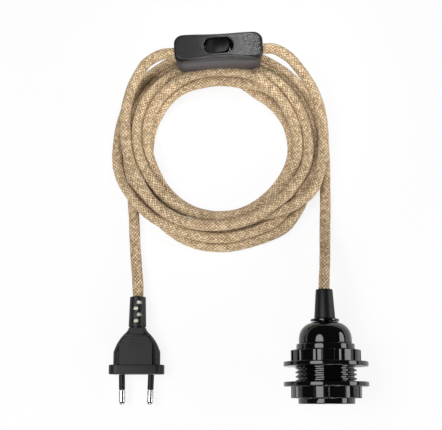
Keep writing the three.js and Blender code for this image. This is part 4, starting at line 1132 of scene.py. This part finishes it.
def pin_sleeve_form(side):
    """Insulating sleeve around a pin."""
    inner, outer = 0.0015, 0.00195
    low, high = 0.0003, PIN_SLEEVE - 0.0003
    corners = [(inner, low), (outer, low), (outer, high), (inner, high)]
    return leaned(turned(rounded(corners, FINE_EDGE), 48), side)


def leaned(bm, side):
    """Turns a pin's part from Z to -Y, leaning inwards, at its side of the plug."""
    spun(bm, math.pi / 2, "X")
    spun(bm, -side * PIN_LEAN, "Z")
    return moved(bm, (side * PIN_OFFSET, 0, 0))


# Switch

def outline(inset, count=200):
    """Points around the switch at even steps, with its long sides drawn in at the middle."""
    half = (SWITCH_HALF[0] - inset, SWITCH_HALF[1] - inset)
    corner = max(SWITCH_CORNER - inset, 0.0006)
    dense = []
    for sx, sy, q in QUARTERS:
        dense += corner_arc(half, corner, sx, sy, q, 24)
        if q % 2 == 0:
            for i in range(1, 40):
                share = 1 - i / 20
                waist = SWITCH_WAIST * (1 - share * share) ** 2
                dense.append((sy * share * (half[0] - corner), sy * (half[1] - waist)))
    return resampled(dense, count)


def resampled(points, count):
    """A closed outline at even steps, starting where it crosses +X."""
    p = np.array(points)
    p = np.vstack([p, p[:1]])
    angle = np.unwrap(np.arctan2(p[:, 1], p[:, 0]))
    start = int(np.argmin(np.abs(np.angle(np.exp(1j * angle[:-1])))))
    p = np.vstack([p[start:-1], p[:start], p[start : start + 1]])
    s = np.concatenate([[0], np.cumsum(np.linalg.norm(np.diff(p, axis=0), axis=1))])
    q = np.linspace(0, s[-1], count, endpoint=False)
    return np.column_stack([np.interp(q, s, p[:, 0]), np.interp(q, s, p[:, 1])])


def crown(x, drop=0.0):
    """Height of the cover's top, which is arched along the switch."""
    share = min(abs(x) / SWITCH_HALF[0], 1)
    return COVER_EDGE + (COVER_TOP - COVER_EDGE) * (1 - share * share) - drop


def entry_form(side):
    """Round opening for the cord in one end of the switch."""
    bm = spun(rod(CORD_BORE, 0.024, 0.033, 48), side * math.pi / 2, "Y")
    return moved(bm, (0, 0, CORD_LEVEL * MM))


def cover_form():
    """Upper half of the switch: an arched top with a bevel and the rocker's opening."""
    rows = []
    end = OPENING[1] / 2
    hole = resampled(loop_of(OPENING[0] / 2, end, end - 1e-5, 30), 200)

    def row(plan, height):
        rows.append([(x, y, height(x) if callable(height) else height) for x, y in plan])

    inner = outline(SWITCH_WALL)
    row(inner, COVER_START)
    for share in (0.0, 0.25, 0.5, 0.75):
        plan = inner * (1 - share) + hole * 1.02 * share
        row(plan, lambda x: crown(x, SWITCH_WALL))
    row(hole, lambda x: crown(x, SWITCH_WALL))
    row(hole, lambda x: crown(x, 0.0005))
    for sine, cosine in quarter(4, 1):
        grown = hole * (1 + OPENING_EDGE * (1 - cosine) / end)
        row(grown, lambda x, sine=sine: crown(x, OPENING_EDGE * (1 - sine)))
    lip = outline(COVER_BEVEL)
    rim = hole * (1 + OPENING_EDGE / end)
    for share in np.linspace(0, 1, 14)[1:]:
        row(rim * (1 - share) + lip * share, crown)
    for inset, drop in COVER_BEVEL_ROWS:
        row(outline(COVER_BEVEL * inset), lambda x, drop=drop: crown(x, COVER_BEVEL * drop))
    row(outline(0), lambda x: (crown(x, COVER_BEVEL) + COVER_START) / 2)
    row(outline(0), COVER_START + 0.0002)
    row(outline(0.0002), COVER_START)
    rows.append(rows[0])
    bm = loft(rows, (False, False))
    bmesh.ops.remove_doubles(bm, verts=bm.verts, dist=WELD)
    for side in (-1, 1):
        bm = boolean(bm, entry_form(side), "DIFFERENCE")
        for shelf in COVER_SHELVES:
            bm = boolean(bm, mirrored_block(shelf, side), "UNION")
    return bm


def base_form():
    """Lower half of the switch, with its screw posts and cord openings."""
    rows = []

    def row(inset, z):
        rows.append([(x, y, z) for x, y in outline(inset)])

    for sine, cosine in quarter(4):
        row(BASE_INSET + BASE_EDGE * (1 - sine), BASE_EDGE * (1 - cosine))
    row(BASE_INSET, BASE_HEIGHT - 0.0003)
    row(BASE_INSET + 0.0001, BASE_HEIGHT - 0.0001)
    row(BASE_INSET + 0.0003, BASE_HEIGHT)
    row(BASE_INSET + SWITCH_WALL, BASE_HEIGHT)
    row(BASE_INSET + SWITCH_WALL, BASE_FLOOR)
    bm = loft(rows)
    for side in (-1, 1):
        screw = (side * HOUSING_SCREW[0], HOUSING_SCREW[1], 0)
        adds = [
            moved(rod(0.0017, BASE_FLOOR - 0.0005, 0.0152, 24), (side * CLAMP_POST[0], y, 0))
            for y in (-CLAMP_POST[1], CLAMP_POST[1])
        ]
        adds.append(mirrored_block(TERMINAL_SEAT, side))
        adds.append(moved(rod(0.0022, 0.0003, BASE_HEIGHT, 36), screw))
        cuts = [entry_form(side), mirrored_block(END_SLIT, side)]
        for radius, end in ((0.00125, BASE_HEIGHT + 0.001), (0.00175, 0.0018)):
            cuts.append(moved(rod(radius, -0.001, end, 32), screw))
        for forms, operation in ((adds, "UNION"), (cuts, "DIFFERENCE")):
            for form in forms:
                bm = boolean(bm, form, operation)
    return bm


def rocker_form():
    """Rocker with cut corners and a hollow top, on two trunnions."""
    half, wide = ROCKER[0] / 2, ROCKER[1] / 2
    reach = half - 0.0005
    top = [reach - i / 12 * (2 * half - 0.001) for i in range(13)]
    side = [(-0.0054, -0.0026), (0.0054, -0.0026), (half, 0.0021)]
    side += [(x, 0.0025 + 0.001 * (x / reach) ** 2) for x in top] + [(-half, 0.0021)]
    bm = loft([[(x, y, z) for x, z in side] for y in (-wide, wide)])
    cut = 0.0028
    plan = [(half, wide - cut), (half - cut, wide), (-half + cut, wide), (-half, wide - cut)]
    plan += [(-x, -y) for x, y in plan]
    octagon = loft([[(x, y, z) for x, y in plan] for z in (-0.01, 0.01)])
    bm = boolean(bm, octagon, "INTERSECT")
    flat, sharp = math.radians(1), math.radians(25)
    bmesh.ops.dissolve_limit(bm, angle_limit=flat, verts=bm.verts, edges=bm.edges)
    bevelled(bm, [e for e in bm.edges if e.is_manifold and e.calc_face_angle() > sharp], EDGE)
    for y in (-1, 1):
        trunnion = rod(0.0014, wide - 0.0004, wide + 0.0011, 32)
        join_into(bm, spun(trunnion, -y * math.pi / 2, "X"))
    place = Matrix.Translation((0, 0, PIVOT)) @ Matrix.Rotation(-ROCKER_TILT, 4, "Y")
    bmesh.ops.transform(bm, matrix=place, verts=bm.verts)
    return bm


INNER = {
    "brass": (
        "holder_centre_contact", "holder_neutral_strap", "holder_terminal_live",
        "holder_terminal_neutral", "switch_terminal_left", "switch_terminal_right",
        "switch_contact_bridge",
    ),
    "steel": (
        "cord_grip_nut", "holder_terminal_screw_live", "holder_terminal_screw_neutral",
        "switch_clamp_left", "switch_clamp_right", "switch_clamp_screw_left_back",
        "switch_clamp_screw_left_front", "switch_clamp_screw_right_back",
        "switch_clamp_screw_right_front", "switch_housing_screw_left",
        "switch_housing_screw_right", "switch_terminal_screw_left",
        "switch_terminal_screw_right",
    ),
    "insulator_plastic": ("holder_insulator",),
    "brown_core": ("holder_core_live", "switch_core_live_left", "switch_core_live_right"),
    "blue_core": ("holder_core_neutral", "switch_core_neutral"),
    "cream_sheath": ("plug_cord_sheath",),
}


def colour(name, description, default):
    """A colour property."""
    return FloatVectorProperty(
        name=name, description=description, size=3, subtype="COLOR", min=0, max=1, default=default
    )


class CordSetLooks(bpy.types.PropertyGroup):
    """Colours of the set."""

    gloss: colour("Gloss black", "Lampholder and rocker", (0.0018, 0.0018, 0.002))
    satin: colour("Satin black", "Cord grip", (0.003, 0.003, 0.0032))
    plug: colour("Plug", "Moulded plug", (0.0095, 0.0095, 0.011))
    housing: colour("Switch", "Upper half of the switch", (0.008, 0.008, 0.0095))
    base: colour("Switch base", "Lower half of the switch", (0.052, 0.049, 0.058))
    cream: colour("Sheath", "Inner sheath in the plug's slots", (0.92, 0.86, 0.70))
    # The jute's ramp from dark to light: random tone, with painted shade in the gaps and on the
    # yarn sides, and painted highlight on the yarn tops
    jute_dark_and_gap_shade: colour("Jute in the gaps", "Darkest shade of the cover", (0.095, 0.050, 0.021))
    jute_darker_and_side_shade: colour("Jute, darker", "Sides of the yarns", (0.33, 0.212, 0.112))
    jute: colour("Jute", "Common shade of the cover", (0.56, 0.405, 0.235))
    jute_light_and_top_highlight: colour("Jute, lighter", "Top of the yarns", (0.84, 0.66, 0.44))


class CordSetSizes(bpy.types.PropertyGroup):
    """Sizes of what the dressing adds to the CAD frame."""

    thread_pitch: FloatProperty(
        name="Thread pitch", description="Rise of the sleeve's outside thread in one turn",
        default=0.0026, min=0.001, precision=4, subtype="DISTANCE", unit="LENGTH",
    )
    thread_depth: FloatProperty(
        name="Thread depth", description="From the thread's root to its crest",
        default=0.00145, min=0, precision=5, subtype="DISTANCE", unit="LENGTH",
    )
    flutes: IntProperty(
        name="Flutes", description="Grooves around each shade ring", default=12, min=1
    )
    flute_depth: FloatProperty(
        name="Flute depth", description="Depth of a shade ring's grooves",
        default=0.0008, min=0, precision=4, subtype="DISTANCE", unit="LENGTH",
    )
    yarns: IntProperty(
        name="Yarns", description="Yarns of the braid around the cord", default=10, min=2
    )
    braid_cells: FloatProperty(
        name="Braid cells", description="Cells of the braid in a metre of cord",
        default=410, min=1,
    )
    fibres: FloatProperty(
        name="Fibres", description="Loose fibres on a millimetre of cord", default=2.2, min=0
    )


class CordSetLights(bpy.types.PropertyGroup):
    """Lights and ground."""

    key: FloatProperty(
        name="Key", description="Large soft light", default=9.8, min=0, subtype="POWER"
    )
    side: FloatProperty(
        name="Side", description="Soft light on the right", default=7.0, min=0, subtype="POWER"
    )
    patch: FloatProperty(
        name="Patch", description="Narrow light on the switch", default=0.036, min=0,
        subtype="POWER",
    )
    front: FloatProperty(
        name="Front", description="Low light from the near side", default=6.0, min=0,
        subtype="POWER",
    )
    world: FloatProperty(
        name="World", description="Even light from all sides", default=0.05, min=0
    )
    floor: FloatProperty(
        name="Floor", description="Share of the floor that takes shadows", default=0.12,
        min=0, max=1, subtype="FACTOR",
    )


def area_light(name, place, aim, size, power, spread=180, shape="ELLIPSE"):
    """A soft light that looks at a point, with its second side along Y."""
    data = bpy.data.lights.new(name, "AREA")
    data.shape = shape
    data.size, data.size_y = size
    data.energy = power
    data.spread = math.radians(spread)
    obj = bpy.data.objects.new(name, data)
    bpy.context.scene.collection.objects.link(obj)
    back = (Vector(place) - Vector(aim)).normalized()
    across = Vector((0, 1, 0)).cross(back).normalized()
    turn = Matrix((across, back.cross(across), back)).transposed()
    obj.matrix_world = Matrix.Translation(place) @ turn.to_4x4()
    return obj


class CORDSET_OT_stage(bpy.types.Operator):
    """Camera, lights and a white table that keeps a faint shadow."""

    bl_idname = "cordset.stage"
    bl_label = "Stage"

    def execute(self, context):
        lights = context.scene.cord_set_lights
        camera = bpy.data.cameras.new("camera")
        camera.lens = CAMERA_LENS
        camera.sensor_width = CAMERA_SENSOR
        camera.sensor_fit = "HORIZONTAL"
        camera.clip_start, camera.clip_end = 0.01, 50
        obj = bpy.data.objects.new("camera", camera)
        context.scene.collection.objects.link(obj)
        obj.location = CAMERA_PLACE
        obj.rotation_euler = (CAMERA_TILT, 0, 0)
        context.scene.camera = obj
        for name, settings in LIGHTS.items():
            area_light(name, power=getattr(lights, name), **settings)
        bm = bmesh.new()
        bmesh.ops.create_grid(bm, x_segments=1, y_segments=1, size=TABLE_HALF)
        table = as_object("table", bm)
        table.data.materials.append(table_material(lights.floor))
        context.scene.view_settings.view_transform = "Standard"
        context.scene.world = white_world(lights.world)
        return {"FINISHED"}


def seen_mask(tree):
    """1 for rays that come straight from the camera or through glass."""
    path = tree.nodes.new("ShaderNodeLightPath").outputs
    return maths(tree, "MAXIMUM", path["Is Camera Ray"], path["Is Transmission Ray"])


def white_world(strength):
    """White to the camera, and a faint even light on the set."""
    world = bpy.data.worlds.new("studio")
    world.use_nodes = True
    tree = world.node_tree
    back = tree.nodes["Background"]
    feed(tree, back, {"Color": (1, 1, 1, 1), "Strength": strength})
    white = add_node(tree, "ShaderNodeBackground", {"Color": (1, 1, 1, 1), "Strength": 1})
    shaders = {0: seen_mask(tree), 1: back.outputs[0], 2: white.outputs[0]}
    mix = add_node(tree, "ShaderNodeMixShader", shaders)
    feed(tree, tree.nodes["World Output"], {0: mix.outputs[0]})
    return world


def table_material(share):
    """A white table: partly plain white to the camera, partly lit, so that shadows stay."""
    material, tree, shader = new_material("table_white")
    look = {"Base Color": (0.95, 0.95, 0.95, 1), "Roughness": 0.8, "Specular IOR Level": 0.2}
    feed(tree, shader, look)
    glow = add_node(tree, "ShaderNodeEmission", {"Strength": 1})
    plain = maths(tree, "MULTIPLY", seen_mask(tree), 1 - share)
    shaders = {0: plain, 1: shader.outputs[0], 2: glow.outputs[0]}
    mix = add_node(tree, "ShaderNodeMixShader", shaders)
    feed(tree, tree.nodes["Material Output"], {0: mix.outputs[0]})
    return material


class CORDSET_OT_cords(bpy.types.Operator):
    """Both lengths of braided cord."""

    bl_idname = "cordset.cords"
    bl_label = "Cords"

    def execute(self, context):
        plug_way, holder_way = lay_cords()
        fibres = context.scene.cord_set_sizes.fibres
        plug_nodes = ("cord_plug_tail", "cord_switch_lead_left")
        holder_nodes = ("cord_coil", "cord_holder_tail", "cord_switch_lead_right")
        for name, way, nodes, seed in (
            ("cord_plug_side", plug_way[::-1], plug_nodes, 3),
            ("cord_holder_side", holder_way, holder_nodes, 8),
        ):
            obj, path = cord_mesh(name, way, fibres, seed)
            obj.data.materials.append(MADE[JUTE])
            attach(obj, "cord_set")
            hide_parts(*nodes)
            MADE[name] = (obj, path)
        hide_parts("cord_coil")
        return {"FINISHED"}


class CORDSET_OT_lampholder(bpy.types.Operator):
    """Threaded sleeve, cap, cord grip and the lamp socket inside."""

    bl_idname = "cordset.lampholder"
    bl_label = "Lampholder"

    def execute(self, context):
        sleeve = sleeve_form(context.scene.cord_set_sizes)
        for name, bm, slot, node_name, angle in (
            ("holder_sleeve", sleeve, GLOSS, "holder_threaded_sleeve", 50),
            ("holder_dome", cap_form(), GLOSS, "holder_cap", 40),
            ("grip_nipple", nipple_form(), GLOSS, "cord_grip_nipple", 40),
            ("grip_cone", cone_form(), SATIN, "cord_grip_cone", 40),
            ("screw_shell", shell_form(), "brass", "holder_screw_shell", 60),
        ):
            holder_place(bm)
            put(name, bm, "cord_set", slot, node_name, angle=angle)
        return {"FINISHED"}


class CORDSET_OT_rings(bpy.types.Operator):
    """Two shade rings on the sleeve's thread."""

    bl_idname = "cordset.rings"
    bl_label = "Shade rings"

    def execute(self, context):
        sizes = context.scene.cord_set_sizes
        for name, at, flip in (("lower", LOWER_RING, True), ("upper", UPPER_RING, False)):
            bm = ring_form(0 if flip else math.pi / sizes.flutes, sizes)
            if flip:
                spun(bm, math.pi, "X")
            holder_place(moved(bm, (0, 0, at)))
            put(f"ring_{name}", bm, f"{name}_ring", GLOSS, f"shade_ring_{name}", angle=35)
        return {"FINISHED"}


class CORDSET_OT_plug(bpy.types.Operator):
    """Moulded two-pin plug with a slotted neck."""

    bl_idname = "cordset.plug"
    bl_label = "Plug"

    def execute(self, context):
        bm = boolean(grooved(plug_form()), panel_form(), "UNION")
        bore = spun(rod(PLUG_BORE, 0.0284, 0.0505, 48), -math.pi / 2, "X")
        bm = boolean(bm, bore, "DIFFERENCE")
        for i, (length, offset) in enumerate(NECK_SLOTS):
            cutter = slot_cutter(length, (offset, SLOT_FIRST - i * SLOT_STEP))
            bm = boolean(bm, cutter, "DIFFERENCE")
        for side in (-1, 1):
            bm = boolean(bm, leaned(turned(PIN_HOLE, 40), side), "DIFFERENCE")
        put("plug_skin", moved(bm, PLUG_PLACE), "cord_set", PLUG, "plug_body", angle=16)
        for side, name in ((-1, "left"), (1, "right")):
            for form, piece, slot, node in (
                (pin_form, "pin", "nickel", "plug_pin"),
                (pin_sleeve_form, "pin_cover", SATIN, "plug_pin_sleeve"),
            ):
                bm = moved(form(side), PLUG_PLACE)
                put(f"{piece}_{name}", bm, "cord_set", slot, f"{node}_{name}")
        return {"FINISHED"}


class CORDSET_OT_switch(bpy.types.Operator):
    """Inline switch: base, arched cover and rocker."""

    bl_idname = "cordset.switch"
    bl_label = "Switch"

    def execute(self, context):
        for name, form, body, slot, node_name, finish in (
            ("switch_top", cover_form, "cord_set", HOUSING, "switch_cover", HOUSING),
            ("switch_bottom", base_form, "cord_set", HOUSING, "switch_base", "base_plastic"),
            ("rocker_skin", rocker_form, "rocker", GLOSS, "switch_rocker", "rocker_plastic"),
        ):
            bm = form()
            switch_place(bm)
            put(name, bm, body, slot, node_name, finish, angle=32)
        return {"FINISHED"}


class CORDSET_OT_inner_parts(bpy.types.Operator):
    """Finishes for the contacts, screws and cores that keep their CAD shape."""

    bl_idname = "cordset.inner_parts"
    bl_label = "Inner parts"

    def execute(self, context):
        for slot, names in INNER.items():
            for name in names:
                materials = MADE["frame"]["nodes"][name].data.materials
                materials.clear()
                materials.append(MADE[slot])
        return {"FINISHED"}


class CORDSET_OT_declare(bpy.types.Operator):
    """Gathers the switch's pieces into a list, and does nothing more with them."""

    bl_idname = "cordset.declare"
    bl_label = "Cord sizes"

    def execute(self, context):
        nodes = MADE["frame"]["nodes"]
        pieces = context.scene.objects
        on_switch = [pieces[n] for n in ("switch_top", "switch_bottom", "rocker_skin")]
        on_switch += [
            o for n, o in nodes.items() if n.startswith("switch_") and not o.hide_render
        ]
        return {"FINISHED"}


class CORDSET_PT_panel(bpy.types.Panel):
    """Sizes, colours, lights and the steps in order."""

    bl_idname = "CORDSET_PT_panel"
    bl_label = "Cord set"
    bl_space_type = "VIEW_3D"
    bl_region_type = "UI"
    bl_category = "Cord set"

    def draw(self, context):
        for name, group in GROUPS.items():
            for key in group.__annotations__:
                self.layout.prop(getattr(context.scene, name), key)
        for step in STEPS:
            self.layout.operator(step.bl_idname)


STEPS = (
    CORDSET_OT_stage, CORDSET_OT_cords, CORDSET_OT_lampholder, CORDSET_OT_rings, CORDSET_OT_plug,
    CORDSET_OT_switch, CORDSET_OT_inner_parts, CORDSET_OT_declare,
)
GROUPS = {
    "cord_set_sizes": CordSetSizes,
    "cord_set_looks": CordSetLooks,
    "cord_set_lights": CordSetLights,
}


def register():
    """Registers the groups, operators and panel."""
    for name, group in GROUPS.items():
        bpy.utils.register_class(group)
        setattr(bpy.types.Scene, name, PointerProperty(type=group))
    for step in (*STEPS, CORDSET_PT_panel):
        bpy.utils.register_class(step)


def unregister():
    """Takes them away again."""
    for step in (CORDSET_PT_panel, *reversed(STEPS)):
        bpy.utils.unregister_class(step)
    for name, group in GROUPS.items():
        delattr(bpy.types.Scene, name)
        bpy.utils.unregister_class(group)


def main():
    """Builds the whole scene."""
    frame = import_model()
    register()
    MADE["frame"] = frame
    make_materials()
    for step in STEPS:
        group, name = step.bl_idname.split(".")
        getattr(getattr(bpy.ops, group), name)()


if __name__ == "__main__":
    main()
